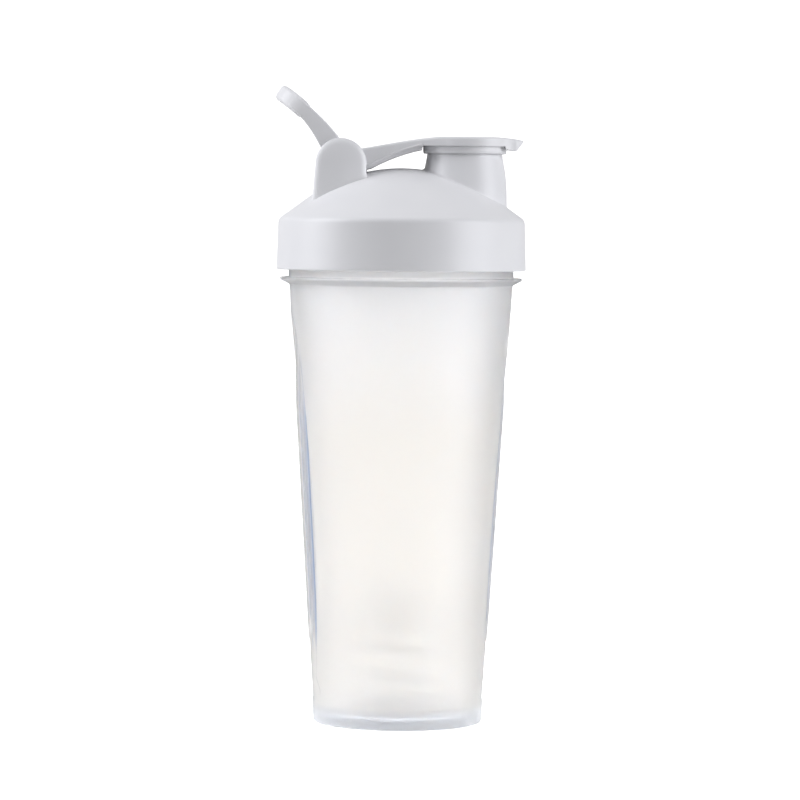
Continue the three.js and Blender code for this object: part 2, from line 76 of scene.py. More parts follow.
RIM = body_high[2]
NECK_HEIGHT = 17.9
FLANGE_TOP = RIM - NECK_HEIGHT
FLANGE_HEIGHT = 2.7
SHOULDER = FLANGE_TOP - FLANGE_HEIGHT
FLANGE_RADIUS = 45.4
FOOT_RADIUS = 31.7
SHOULDER_RADIUS = 41.9
BODY_WALL = 1.8
NECK_RADIUS = 42.2
NECK_INNER = NECK_RADIUS - BODY_WALL
SKIRT_BOTTOM = lid_low[2]
SKIRT_OUTER = 46.8
SKIRT_INNER = 44.6
SKIRT_TOP = 46.15
SEAT_GAP = 0.3
LID_CORNER = 2.25
SHOULDER_INSET = 0.95
CHANNEL_ROOF = seal_high[2] + SEAT_GAP
DOME_EDGE = CHANNEL_ROOF + LID_CORNER
DOME_EDGE_RADIUS = SKIRT_TOP - SHOULDER_INSET
DOME_RISE = 18.55
DOME_WALL = 1.8
DOME_SLOPE = math.radians(36.5)
DOME_TOP = DOME_EDGE + DOME_RISE
PIVOT_X = float(pin_low[0] + pin_high[0]) / 2
PIVOT_Z = float(pin_low[2] + pin_high[2]) / 2
SPOUT_X = float(plug_low[0] + plug_high[0]) / 2
PLATE_THICKNESS, PLATE_GAP = 3.4, 0.8
PLATE_TOP = cap_high[2]
PLATE_UNDER = PLATE_TOP - PLATE_THICKNESS
SPOUT_TOP = PLATE_UNDER - PLATE_GAP
GRIP_TURN = 6.3  # degrees from the spout's side to the middle of a grip panel
print("pivot", round(PIVOT_X, 2), round(PIVOT_Z, 2), "spout", round(SPOUT_X, 2), round(SPOUT_TOP, 2))

# %% [markdown]
# ## Surfaces from grids
# Every skin here is a grid of points: the rows run along a profile and the columns run round it. Blender only
# needs the points and the list of quads, and numpy makes both without visiting a point on its own. The first
# and last rows are closed with a fan when they shrink to a single point, so each skin is a watertight solid.


# %% Grid helpers
def grid_faces(rows, cols, wrap_rows, wrap_cols):
    """Quads of a grid: corner (i, j), then the next column, then the next row of both."""
    i = np.arange(rows if wrap_rows else rows - 1)
    j = np.arange(cols if wrap_cols else cols - 1)
    i, j = (a.ravel() for a in np.meshgrid(i, j, indexing="ij"))
    k, m = (i + 1) % rows, (j + 1) % cols
    return np.stack([i * cols + j, i * cols + m, k * cols + m, k * cols + j], axis=1)


def skin(points, ring=False, close=True):
    """Vertices and faces of a grid of points (rows, columns, 3) whose columns go once round. A ring's rows go
    round too. Otherwise each end row is closed with a fan to its own mean point. Six times the volume inside
    is the sum of each face's corner dotted with the cross product of its next two, and when it comes out
    negative the faces point inwards, so their order is turned round."""
    rows, cols = points.shape[:2]
    flat = points.reshape(-1, 3)
    quads = grid_faces(rows, cols, ring, True)
    fans = np.zeros((0, 3), int)
    if not ring and close:
        j = np.arange(cols)
        m = (j + 1) % cols
        first, last = len(flat), len(flat) + 1
        flat = np.vstack([flat, points[0].mean(axis=0), points[-1].mean(axis=0)])
        top = (rows - 1) * cols
        fans = np.vstack([
            np.stack([m, j, np.full(cols, first)], axis=1),
            np.stack([top + j, top + m, np.full(cols, last)], axis=1),
        ])
    halves = np.vstack([quads[:, :3], quads[:, [0, 2, 3]], fans])
    a, b, c = (flat[halves[:, k]] - flat.mean(axis=0) for k in range(3))
    if (a * np.cross(b, c)).sum() < 0:
        quads, fans = quads[:, ::-1], fans[:, ::-1]
    return flat, quads.tolist() + fans.tolist()


def join(*skins):
    """Several closed skins as one set of vertices and faces."""
    points, faces, count = [], [], 0
    for flat, quads in skins:
        points.append(flat)
        faces += [[v + count for v in quad] for quad in quads]
        count += len(flat)
    return np.vstack(points), faces


def mesh_of(name, flat, faces):
    """A smooth-shaded mesh in metres from points in millimetres. Points that fall together are merged and
    loose triangles of no area go."""
    data = bpy.data.meshes.new(name)
    data.from_pydata((flat * MM).tolist(), [], faces)
    work = bmesh.new()
    work.from_mesh(data)
    bmesh.ops.remove_doubles(work, verts=work.verts, dist=1e-7)
    bmesh.ops.dissolve_degenerate(work, edges=work.edges, dist=1e-8)
    work.to_mesh(data)
    volume = work.calc_volume(signed=True)
    open_edges = sum(not e.is_manifold for e in work.edges)
    work.free()
    data.shade_smooth()
    print(f"{name}: {len(data.vertices)} points, {volume * 1e6:.2f} cm3, {open_edges} open edges")
    return data


def object_of(name, data):
    """A new object at the origin with the mesh as its data, linked to the scene."""
    made = bpy.data.objects.new(name, data)
    bpy.context.scene.collection.objects.link(made)
    return made


def baked(made):
    """The object with its modifiers applied to its mesh."""
    graph = bpy.context.evaluated_depsgraph_get()
    data = bpy.data.meshes.new_from_object(made.evaluated_get(graph))
    made.modifiers.clear()
    made.data = data
    return made


def cut(made, cutter):
    """made with the cutter's solid taken away. The cutter is removed afterwards."""
    change = made.modifiers.new("cut", "BOOLEAN")
    change.operation = "DIFFERENCE"
    change.solver = "EXACT"
    change.object = cutter
    baked(made)
    bpy.data.objects.remove(cutter)
    made.data.shade_smooth()
    return made


# %% [markdown]
# ## Rounded profiles
# A mould has no sharp corners: even the crispest edge of polypropylene has a radius of a few tenths of a
# millimetre, and that radius is what catches the light as a thin line. So a profile is written as its corners,
# each with a radius, and one function turns every corner to an arc that is tangent to its two sides.


# %% Profile helpers
def rounded(profile, arc_steps=5, spacing=4.0, closed=False):
    """Dense points of a polyline whose corners are (a, b, radius) or (a, b, radius, spacing after it). Each
    corner becomes an arc about the point that lies radius from both its sides, and each side is cut into
    steps no longer than its spacing."""
    p = np.array([c[:2] for c in profile], float)
    radius = np.array([c[2] if len(c) > 2 else 0 for c in profile], float)
    gaps = [c[3] if len(c) > 3 else spacing for c in profile]
    count = len(p)
    pieces = []
    for i in range(count):
        if radius[i] <= 0 or (not closed and i in (0, count - 1)):
            pieces.append(p[i : i + 1])
            continue
        back, ahead = p[i - 1] - p[i], p[(i + 1) % count] - p[i]
        u, v = back / np.linalg.norm(back), ahead / np.linalg.norm(ahead)
        half = math.acos(float(np.clip(u @ v, -1, 1))) / 2
        run = min(radius[i] / math.tan(half), 0.49 * np.linalg.norm(back), 0.49 * np.linalg.norm(ahead))
        reach = run * math.tan(half)
        centre = p[i] + (u + v) / np.linalg.norm(u + v) * reach / math.sin(half)
        a = math.atan2(*(p[i] + u * run - centre)[::-1])
        b = math.atan2(*(p[i] + v * run - centre)[::-1])
        turn = (b - a + math.pi) % (2 * math.pi) - math.pi
        angle = a + turn * np.linspace(0, 1, arc_steps + 1)
        pieces.append(centre + reach * np.stack([np.cos(angle), np.sin(angle)], axis=1))
    out = []
    for i, piece in enumerate(pieces):
        out.append(piece)
        if i == count - 1 and not closed:
            break
        start, end = piece[-1], pieces[(i + 1) % count][0]
        steps = int(np.ceil(np.linalg.norm(end - start) / gaps[i]))
        if steps > 1:
            share = np.linspace(0, 1, steps + 1)[1:-1, None]
            out.append(start + (end - start) * share)
    return np.vstack(out)


def turned(profile, columns=160, centre=(0.0, 0.0)):
    """A profile of (radius, height) turned about the vertical through centre: x and y are the radius times
    the cosine and sine of the column's angle."""
    angle = np.linspace(0, 2 * np.pi, columns, endpoint=False)
    r, z = profile[:, :1], profile[:, 1:]
    x = centre[0] + r * np.cos(angle)
    y = centre[1] + r * np.sin(angle)
    return np.stack([x, y, z + 0 * x], axis=2)


def smooth(low, high, value):
    """0 below low and 1 above high, with a level start and end: three t squared less two t cubed."""
    t = np.clip((value - low) / (high - low), 0, 1)
    return t * t * (3 - 2 * t)


# %% [markdown]
# ## The screw thread
# The thread is one ridge that climbs 6 mm in a turn. Modelled as a separate coil it would need a boolean; on a
# grid it is only a change of radius. At each point the height above the ridge's own middle line says how much
# of the ridge is there, and both of its ends fade into the wall.


# %% Thread height
LEAD, THREAD_DEPTH = 6.0, 1.7
THREAD_FADE = 0.08  # share of a turn in which an end fades into the wall
NECK_TURNS, LID_TURNS = 1.25, 1.0
THREAD_START = FLANGE_TOP + 7.7


def thread(angle, height, turns, start):
    """Share of the thread's depth at an angle in radians and a height. The ridge's middle is at start plus the
    lead times the turns made, its crest is 1 mm high and its root 2.4 mm."""
    total = np.zeros(np.broadcast(angle, height).shape)
    for lap in range(int(np.ceil(turns))):
        done = angle / (2 * np.pi) + lap
        there = smooth(0, THREAD_FADE, done) * smooth(0, THREAD_FADE, turns - done)
        ridge = 1 - smooth(0.45, 1.25, np.abs(height - start - LEAD * done))
        total = np.maximum(total, there * ridge)
    return total


# %% [markdown]
# ## Bottle body
# The real body is blown or moulded in one piece from frosted polypropylene, with two long recessed grip panels
# and three flat ribs in each. A boolean with a panel cutter would leave hard edges. Here the whole body is one
# grid, and the panels are a depth taken off the radius, so their edges roll over as a mould's do. Columns are
# packed closer inside the panels, where the detail is.

# %% Columns and profile of the body
PANEL_SPAN = np.radians(27)
fine = np.linspace(-PANEL_SPAN, PANEL_SPAN, 109)
coarse = np.linspace(PANEL_SPAN, np.pi - PANEL_SPAN, 45)[1:-1]
body_angle = np.concatenate([fine, coarse, fine + np.pi, coarse + np.pi])


def body_radius(z):
    """Radius of the plain wall: it grows in a straight line from the foot to the shoulder."""
    return FOOT_RADIUS + (SHOULDER_RADIUS - FOOT_RADIUS) * z / SHOULDER


FLOOR_UNDER, FLOOR_TOP = 1.5, 3.7
RING_INNER, RING_SLOPE = 26.7, 1.5
body_profile = rounded([
    (0, FLOOR_UNDER, 0, 6),
    (RING_INNER - RING_SLOPE, FLOOR_UNDER, 0.6),
    (RING_INNER, 0, 0.5),
    (FOOT_RADIUS - 0.05, 0, 0.8, 0.95),
    (SHOULDER_RADIUS, SHOULDER, 0.5),
    (FLANGE_RADIUS, FLANGE_TOP - 0.9, 0.8),
    (FLANGE_RADIUS, FLANGE_TOP, 0.45),
    (NECK_RADIUS, FLANGE_TOP, 0.6, 0.45),
    (NECK_RADIUS, RIM, 0.5),
    (NECK_INNER, RIM, 0.5),
    (NECK_INNER, FLANGE_TOP, 2),
    (SHOULDER_RADIUS - BODY_WALL, SHOULDER, 2, 5),
    (body_radius(FLOOR_TOP) - BODY_WALL, FLOOR_TOP, 2.4, 6),
    (0, FLOOR_TOP, 0),
], arc_steps=5)
print("body grid:", len(body_profile), "rows by", len(body_angle), "columns")

# %% Outline of a grip panel: height, half width
GRIP_DEPTH = 1.1
GRIP_LOW, GRIP_HIGH = 7, 153
GRIP_SHAPE = np.array([
    (GRIP_LOW, 0), (8.5, 5.8), (18.7, 8.6), (46.4, 12.5), (78.5, 13.9),
    (106.3, 13.3), (126.7, 11.7), (139.9, 8.9), (149.4, 5.0), (GRIP_HIGH, 0),
])


def catmull(table, x):
    """A smooth curve through the table's points: between two of them, a cubic whose slope at each is that of
    the chord between its neighbours."""
    xs, ys = table[:, 0], table[:, 1]
    slope = np.gradient(ys, xs)
    k = np.clip(np.searchsorted(xs, x) - 1, 0, len(xs) - 2)
    h = xs[k + 1] - xs[k]
    t = np.clip((x - xs[k]) / h, 0, 1)
    a = ys[k] * (2 * t**3 - 3 * t**2 + 1) + ys[k + 1] * (3 * t**2 - 2 * t**3)
    return a + h * (slope[k] * (t**3 - 2 * t**2 + t) + slope[k + 1] * (t**3 - t**2))


# %% Ribs in a panel
RIBS = [(-14.9, -10.1), (-7.9, 7.9), (10.1, 14.9)]  # degrees from the panel's middle
RIB_LOW, RIB_HIGH, RIB_POINT, RIB_FADE = 31, 146, 9, 30
LOW_SHARE, LOW_FROM, LOW_TO = 0.35, 24, 48  # the recess is shallower near the foot


def panel_depth(angle, z):
    """Share of the panel's depth at an angle from its middle: the recess inside the outline, less the ribs in
    it. The distance to the outline is the sideways distance over the root of one plus the outline's slope
    squared. A rib has a pointed lower end, and fades out upwards."""
    side = body_radius(z) * np.sin(angle)
    half = catmull(GRIP_SHAPE, z)
    lean = (catmull(GRIP_SHAPE, z + 0.5) - catmull(GRIP_SHAPE, z - 0.5)).clip(-6, 6)
    inside = (half - np.abs(side)) / np.sqrt(1 + lean**2)
    inside = np.where((z > GRIP_LOW) & (z < GRIP_HIGH) & (np.cos(angle) > 0), inside, -9)
    recess = smooth(-0.35, 0.85, inside) * (LOW_SHARE + (1 - LOW_SHARE) * smooth(LOW_FROM, LOW_TO, z))
    ribs = np.zeros_like(side)
    degrees = np.degrees(angle)
    for low, high in RIBS:
        middle, width = (low + high) / 2, (high - low) / 2
        point = RIB_POINT * (1 - np.abs(degrees - middle) / width)
        across = smooth(0, 1, (width - np.abs(degrees - middle)) * 1.4)
        start = z + point.clip(0, RIB_POINT) - RIB_POINT + 1
        up = smooth(RIB_LOW, RIB_LOW + 1.5, start) * smooth(0, RIB_FADE, RIB_HIGH - z)
        ribs = np.maximum(ribs, across * up)
    return recess * (1 - ribs)


# %% Body mesh
angle = body_angle[None, :]
r, z = body_profile[:, :1], body_profile[:, 1:]
rows_z = z + 0 * angle
outer_row = np.arange(len(body_profile))[:, None] < np.argmax(body_profile[:, 0])
wall = outer_row & (z > 5) & (z < SHOULDER - 1)
turn_in = (angle + np.pi) % (2 * np.pi) - np.pi
other = turn_in - np.sign(turn_in) * np.pi
depth = np.where(wall, np.maximum(panel_depth(turn_in, rows_z), panel_depth(other, rows_z)), 0)
neck = (np.abs(r - NECK_RADIUS) < 0.01) & (z > FLANGE_TOP + 1) & (z < RIM - 0.6)
ridge = np.where(neck, thread(angle % (2 * np.pi), rows_z, NECK_TURNS, THREAD_START), 0)
radius = r - GRIP_DEPTH * depth + THREAD_DEPTH * ridge
world = angle + math.radians(GRIP_TURN)
body_points = np.stack([radius * np.cos(world), radius * np.sin(world), rows_z], axis=2)
bottle = object_of("bottle_wall", mesh_of("bottle_wall", *skin(body_points)))

# %% [markdown]
# ## Lid: dome and skirt
# The lid is one injection moulding: a plain skirt, a rounded shoulder, a dome with a cone at its foot, and
# inside it a thin ring that reaches into the neck. It is turned as one closed profile that goes up inside and
# down outside. Only the hole under the spout is cut, because the spout's own wall hides that edge.

# %% Dome profile
DOME_RADIUS = (DOME_RISE - DOME_EDGE_RADIUS * math.tan(DOME_SLOPE)) / (
    1 - math.cos(DOME_SLOPE) - math.sin(DOME_SLOPE) * math.tan(DOME_SLOPE)
)
DOME_CENTRE = DOME_TOP - DOME_RADIUS


def dome_height(distance, sunk=0.0):
    """Height of the dome at a distance from the axis: a sphere, and outside it the cone that touches it."""
    size = DOME_RADIUS - sunk
    touch = size * math.sin(DOME_SLOPE)
    ball = DOME_CENTRE + np.sqrt(np.maximum(size**2 - np.minimum(distance, touch) ** 2, 0))
    return ball - np.maximum(distance - touch, 0) * math.tan(DOME_SLOPE)


SEAL_GAP, SEAL_WALL, SEAL_REACH = 0.6, 1.2, 2.0
SEAL_OUTER = NECK_INNER - SEAL_GAP
SEAL_INNER = SEAL_OUTER - SEAL_WALL
inner_r = np.linspace(0, SEAL_INNER, 26)
outer_r = np.linspace(DOME_EDGE_RADIUS - 3, 0, 48)
under = np.stack([inner_r, dome_height(inner_r, DOME_WALL)], axis=1)
over = np.stack([outer_r, dome_height(outer_r)], axis=1)
foot = rounded([
    tuple(under[-1]) + (0,),
    (SEAL_INNER, RIM - SEAL_REACH, 0.3),
    (SEAL_OUTER, RIM - SEAL_REACH, 0.4),
    (SEAL_OUTER, CHANNEL_ROOF, 0.3),
    (SKIRT_INNER, CHANNEL_ROOF, 0.4, 0.4),
    (SKIRT_INNER, SKIRT_BOTTOM, 0.45),
    (SKIRT_OUTER, SKIRT_BOTTOM, 0.55, 1.5),
    (SKIRT_TOP + 0.1, float(dome_height(SKIRT_TOP + 0.1)) + 0.15, 3.0),
    tuple(over[0]) + (0,),
], arc_steps=8)
lid_profile = np.vstack([under[:-1], foot, over[1:]])
lid_points = turned(lid_profile, 256)
r, z = lid_profile[:, :1], lid_profile[:, 1:]
angle = np.arctan2(lid_points[:, :, 1], lid_points[:, :, 0]) - math.radians(GRIP_TURN)
inside = (np.abs(r - SKIRT_INNER) < 0.01) & (z < CHANNEL_ROOF - 0.6) & (z > SKIRT_BOTTOM + 0.6)
ridge = np.where(inside, thread(angle % (2 * np.pi), z + 0 * angle, LID_TURNS, THREAD_START - LEAD / 2), 0)
shrink = 1 - THREAD_DEPTH * ridge / np.maximum(r, 1)
lid_points[:, :, :2] *= shrink[:, :, None]
lid_shell = object_of("lid_shell", mesh_of("lid_shell", *skin(lid_points)))

# %% [markdown]
# ## Spout
# The spout stands on the slope of the dome, so its foot is not a flat circle: each column ends where the wall
# meets the dome. The column's foot is found for all columns at once by moving it a few times to the dome's
# height under it. A small fillet then widens the wall just above the dome, as the mould's corner radius does.

# %% Spout mesh
SPOUT_WALL = 1.85
SPOUT_SHAPE = np.array([  # drop from the rim, outside radius
    (0, 13.85), (2.0, 14.06), (6, 14.75), (9, 15.25), (13, 15.7), (19.5, 15.95), (30, 16.0),
])
RIM_RADIUS, FOOT_GUESS = SPOUT_SHAPE[0, 1], SPOUT_SHAPE[-1, 1]
BORE_FOOT = 14.1


def spout_radius(z):
    """Outside radius of the spout at a height, by its drop from the rim."""
    return catmull(SPOUT_SHAPE, SPOUT_TOP - z)


columns = np.linspace(0, 2 * np.pi, 128, endpoint=False)


def on_dome(radius, sunk=0.0):
    """Height of the dome under the points that lie at a radius from the spout's axis."""
    x = SPOUT_X + radius * np.cos(columns)
    y = radius * np.sin(columns)
    return dome_height(np.hypot(x, y), sunk)


TOE = 1.0
ground = on_dome(FOOT_GUESS)
for _ in range(4):
    ground = on_dome(spout_radius(ground) + TOE)
share = np.concatenate([np.linspace(0, 0.12, 7), np.linspace(0.12, 1, 26)[1:]])[:, None]
height = ground - 0.5 + (SPOUT_TOP - 0.45 - ground + 0.5) * share
above = np.clip(height - ground, 0, TOE)
flare = TOE - np.sqrt(np.maximum(TOE**2 - (TOE - above) ** 2, 0))
outside_r = spout_radius(height) + flare
edge = rounded([(0, -3, 0), (0, 0, 0.45), (-SPOUT_WALL, 0, 0.45), (-SPOUT_WALL, -3, 0)], 5)
edge = edge[(edge[:, 1] > -0.46)]
rim_r = RIM_RADIUS + edge[:, :1] + 0 * columns
rim_z = SPOUT_TOP + edge[:, 1:] + 0 * columns
bore_low = on_dome(BORE_FOOT, DOME_WALL) - 0.35
down = np.linspace(0, 1, 16)[1:, None]
bore_z = SPOUT_TOP - 0.5 + (bore_low - SPOUT_TOP + 0.5) * down
bore_r = spout_radius(bore_z) - SPOUT_WALL
tube_r = np.vstack([outside_r, rim_r, bore_r])
tube_z = np.vstack([height, rim_z, bore_z])
tube = np.stack([SPOUT_X + tube_r * np.cos(columns), tube_r * np.sin(columns), tube_z], axis=2)
spout = object_of("spout_tube", mesh_of("spout_tube", *skin(tube, ring=True)))

# %% Hole under the spout
HOLE_RADIUS, HOLE_START, BEYOND = 14.3, 13.6, 4
hole = turned(np.array([
    [HOLE_START, DOME_EDGE - BEYOND], [HOLE_RADIUS, DOME_EDGE - BEYOND],
    [HOLE_RADIUS, DOME_TOP + BEYOND], [HOLE_START, DOME_TOP + BEYOND],
]), 96, (SPOUT_X, 0))
cut(lid_shell, object_of("bore", mesh_of("bore", *skin(hole))))
print("lid shell after the cut:", len(lid_shell.data.polygons), "faces")

# %% [markdown]
# ## Hinge ears
# Two ears stand on the dome and hold the pin. Seen from the side each is a tombstone: plain flanks and a
# half-round top. An ear is sliced into level rings. Along a slice the share across runs from -1 on the left
# flank to 1 on the right, and above the pivot the same share is the distance from the pivot over the top's
# radius. Both faces are heights over that share: the outer one is softly domed and turns over a wide edge,
# and the inner one is flat with a narrow edge.

# %% Ears
EAR_RADIUS, EAR_FLARE, EAR_FOOT = 9.45, 0.08, DOME_EDGE + 1
EAR_IN, EAR_OUT, EAR_SWELL = 15.4, 18.2, 1.3
EAR_EDGE, EAR_INNER_EDGE = 2.4, 0.5
PIN_HOLE, PIN_HOLE_END = 1.8, 2.0


def flank(z, side, y):
    """How far an ear's flank stands from the pivot's vertical: the left one leans out downwards, and each has
    a small toe that grows as the square of its nearness to the dome."""
    out = EAR_RADIUS + (EAR_FLARE * (PIVOT_Z - z) if side < 0 else 0 * z)
    rise = z - dome_height(np.hypot(PIVOT_X + side * out, y))
    return out + TOE * (1 - np.clip(rise / (3 * TOE), 0, 1)) ** 2


def turned_edge(gap, width, depth):
    """How far a face drops at a gap from the outline: a quarter ellipse, level at width and upright at 0."""
    t = np.clip(1 - gap / width, 0, 1)
    return depth * (1 - np.sqrt(1 - t**2))


def ear(sign):
    """One ear as level rings from its foot to its top, each across the outer face and back by the inner."""
    low = np.linspace(EAR_FOOT, PIVOT_Z, 60)
    high = PIVOT_Z + EAR_RADIUS * np.sin(np.linspace(0, np.pi / 2, 60))[1:]
    z = np.concatenate([low, high])[:, None]
    across = np.sin(np.linspace(-np.pi / 2, np.pi / 2, 61))[None]
    upper = np.maximum(z - PIVOT_Z, 0)
    level = np.sqrt(np.maximum(EAR_RADIUS**2 - upper**2, 0))
    left = np.where(upper > 0, level, flank(np.minimum(z, PIVOT_Z), -1, sign * EAR_OUT))
    right = np.where(upper > 0, level, flank(np.minimum(z, PIVOT_Z), 1, sign * EAR_OUT))
    x = np.where(across < 0, across * left, across * right)
    reach = np.where(across < 0, left, right)
    share = np.where(upper > 0, np.hypot(x, upper) / EAR_RADIUS, np.abs(across))
    gap = (1 - share) * np.where(upper > 0, EAR_RADIUS, reach)
    edge_depth = EAR_OUT - EAR_SWELL - EAR_IN - EAR_INNER_EDGE
    outer = EAR_OUT - EAR_SWELL * share**2 - turned_edge(gap, EAR_EDGE, edge_depth)
    inner = EAR_IN + turned_edge(gap, EAR_INNER_EDGE, EAR_INNER_EDGE)
    ring_x = PIVOT_X + np.hstack([x, x[:, -2:0:-1]])
    ring_y = sign * np.hstack([outer, inner[:, -2:0:-1]])
    return skin(np.stack([ring_x, ring_y, z + 0 * ring_x], axis=2))


ears = object_of("hinge_ears", mesh_of("hinge_ears", *join(ear(-1), ear(1))))

# %% Turning about the hinge line


def barrel(profile, columns=48):
    """A profile of (radius, place along Y) turned about the hinge line."""
    angle = np.linspace(0, 2 * np.pi, columns, endpoint=False)
    r, y = profile[:, :1], profile[:, 1:]
    x = PIVOT_X + r * np.sin(angle)
    z = PIVOT_Z + r * np.cos(angle)
    return np.stack([x, y + 0 * x, z], axis=2)


NO_STEPS = 99  # longer than any side, so that a side stays one step
blind, through = PIN_HOLE_END - EAR_OUT, EAR_OUT + 1
pin_bore = rounded([(0, blind, 0), (PIN_HOLE, blind, 0), (PIN_HOLE, through, 0), (0, through, 0)], 1, NO_STEPS)
cut(ears, object_of("bore", mesh_of("bore", *skin(barrel(pin_bore), close=False))))

# %% [markdown]
# ## Flip cap
# The cap is an arm that widens to a round plate over the spout and ends in a thumb tab. It is lofted along its
# length: at each station the plan gives the half width and the side view gives the top and the underside. The
# cross-section is one list of points, each tied to the side, and to the top or to the underside, so that its
# corner radii stay the same in millimetres while the arm changes size.

# %% Cap outline by station
COLLAR_INNER, COLLAR_OUTER, COLLAR_DEPTH = 14.6, 15.64, 2.8
COLLAR_LOW = PLATE_UNDER - COLLAR_DEPTH
ARM_END = SPOUT_X - COLLAR_OUTER - 0.3
LIFT = PIVOT_X + 11.1  # where the arm leaves the dome
TAB_END = cap_high[0]
TAB_START = SPOUT_X + COLLAR_OUTER - 0.4
BARREL_RADIUS, BARREL_HALF, PLATE_RADIUS = 4.6, 11.2, 17.2
BROAD, NARROW = math.radians(115), math.radians(38)  # where the arm and the tab meet the plate's circle
HINGE_GAP, ARM_DEPTH, ARM_SLOPE, PLATE_FLAT = 0.8, 4.8, 0.2, 10.5
TAB_DROP, TAB_DEPTH = 1.5, 3.5


def bezier(points, steps):
    """Points of a Bezier curve: each is the sum of its control points times the binomial weights of t."""
    p = np.array(points, float)
    n = len(p) - 1
    t = np.linspace(0, 1, steps)[:, None]
    weight = [math.comb(n, k) * t**k * (1 - t) ** (n - k) for k in range(n + 1)]
    return sum(w * q for w, q in zip(weight, p))


plate_arc = np.linspace(BROAD, NARROW, 40)
on_plate = np.stack([SPOUT_X + PLATE_RADIUS * np.cos(plate_arc), PLATE_RADIUS * np.sin(plate_arc)], axis=1)
arm_side = bezier([(LIFT, BARREL_HALF), ((LIFT + on_plate[0, 0]) / 2, BARREL_HALF), tuple(on_plate[0])], 24)
neck_line = bezier([tuple(on_plate[-1]), (TAB_END - 6.2, 7.9), (TAB_END - 3.2, 6.9)], 12)
nose = bezier([tuple(neck_line[-1]), (TAB_END - 0.9, 6.1), (TAB_END, 3.4), (TAB_END, 0)], 20)
plan = np.vstack([[(PIVOT_X - 2, BARREL_HALF)], arm_side, on_plate[1:], neck_line[1:], nose[1:]])

# %% Cap's side view by station
barrel_top = PIVOT_Z + BARREL_RADIUS
flat_end = SPOUT_X + PLATE_FLAT
plate_start = SPOUT_X - PLATE_RADIUS / 2
run, rise = plate_start - PIVOT_X, PLATE_TOP - barrel_top
top_line = np.vstack([
    bezier([
        (PIVOT_X, barrel_top),
        (PIVOT_X + run * 0.33, barrel_top + rise * 0.28),
        (PIVOT_X + run * 0.67, PLATE_TOP - rise * 0.12),
        (plate_start, PLATE_TOP),
    ], 40),
    bezier([(flat_end, PLATE_TOP), ((TAB_END + flat_end) / 2, PLATE_TOP), (TAB_END - 0.5, PLATE_TOP - 1.0)], 20),
    [(TAB_END, PLATE_TOP - 1.25)],
])
arm_low = PLATE_TOP - ARM_DEPTH
dome_x = np.linspace(PIVOT_X, LIFT, 16)
under_line = np.vstack([
    np.stack([dome_x, dome_height(np.abs(dome_x), -HINGE_GAP)], axis=1),
    bezier([
        (LIFT, float(dome_height(abs(LIFT), -HINGE_GAP))),
        ((LIFT + ARM_END) / 2, arm_low - ARM_SLOPE * (ARM_END - LIFT) / 2),
        (ARM_END, arm_low),
    ], 24)[1:],
])
tab_low = PLATE_TOP - TAB_DROP - TAB_DEPTH
tab_under = np.array([
    (TAB_START - 0.3, PLATE_UNDER), (TAB_START, tab_low + 0.5), (TAB_END - 3.0, tab_low),
    (TAB_END - 2.4, tab_low + 0.15), (TAB_END - 2.1, tab_low + 0.6),
    (TAB_END - 0.15, PLATE_TOP - 1.9), (TAB_END, PLATE_TOP - TAB_DROP),
])

# %% Stations along the cap
stations = np.unique(np.concatenate([
    np.linspace(PIVOT_X, ARM_END - 0.05, 70),
    np.array([ARM_END, ARM_END + 0.12]),
    np.linspace(ARM_END + 0.3, TAB_START - 0.4, 90),
    TAB_START - np.array([0.3, 0.2, 0.1, 0.0]),
    np.linspace(TAB_START + 0.3, TAB_END - 3.1, 12),
    np.linspace(TAB_END - 3.0, TAB_END - 0.6, 26),
    TAB_END - 0.6 * (1 - np.sin(np.linspace(0, np.pi / 2, 10))),
]))
width = np.maximum(np.interp(stations, plan[:, 0], plan[:, 1]), 0.4)
top_z = np.interp(stations, top_line[:, 0], top_line[:, 1])
low_z = np.where(stations <= ARM_END, np.interp(stations, under_line[:, 0], under_line[:, 1]), PLATE_UNDER)
low_z = np.where(stations > TAB_START - 0.3, np.interp(stations, tab_under[:, 0], tab_under[:, 1]), low_z)

# %% Cross-section of the cap
LIP, SET_BACK, BEAD = 1.5, 0.8, 0.14  # the arm's sides stand out above a height LIP, with a fine bead
side = rounded([
    (-8, 0, 0), (-SET_BACK, 0, 0.25), (-SET_BACK, LIP, 0.12), (BEAD, LIP, 0.12), (BEAD, LIP + 0.45, 0.12),
    (0, LIP + 0.65, 0.1), (0, 10, 0),
], 4, NO_STEPS)[1:-1]
top_corner = rounded([(0, -10, 0), (0, 0, 1.1), (-6, 0, 0)], 7, NO_STEPS)[1:-1]
share_low = np.array([0.0, 0.35, 0.7])
share_top = np.array([0.75, 0.4, 0.0])


def section(width, low, top, lip):
    """One half of the cross-section from the underside's middle to the top's middle, for every station. The
    side's points are added to the half width and the underside, the corner's to the half width and the top,
    and both shrink where the cap is narrower than 3 mm or thinner than 2.6 mm."""
    size = np.minimum(1, width / 3)[:, None]
    fit = np.minimum(1, (top - low) / 2.6)[:, None]
    w, lo, hi = width[:, None], low[:, None], top[:, None]
    set_in = side[:, 0] * size * lip[:, None] - 0.25 * size * (1 - lip[:, None]) * (side[:, 1] < 0.1)
    y_side = w + set_in
    z_side = lo + side[:, 1] * fit * (0.35 + 0.65 * lip[:, None])
    y_top = w + top_corner[:, 0] * size
    z_top = hi + top_corner[:, 1] * fit
    y = np.hstack([share_low * y_side[:, :1], y_side, y_top, share_top * y_top[:, -1:]])
    z = np.hstack([lo + 0 * share_low, z_side, z_top, hi + 0 * share_top])
    return y, z


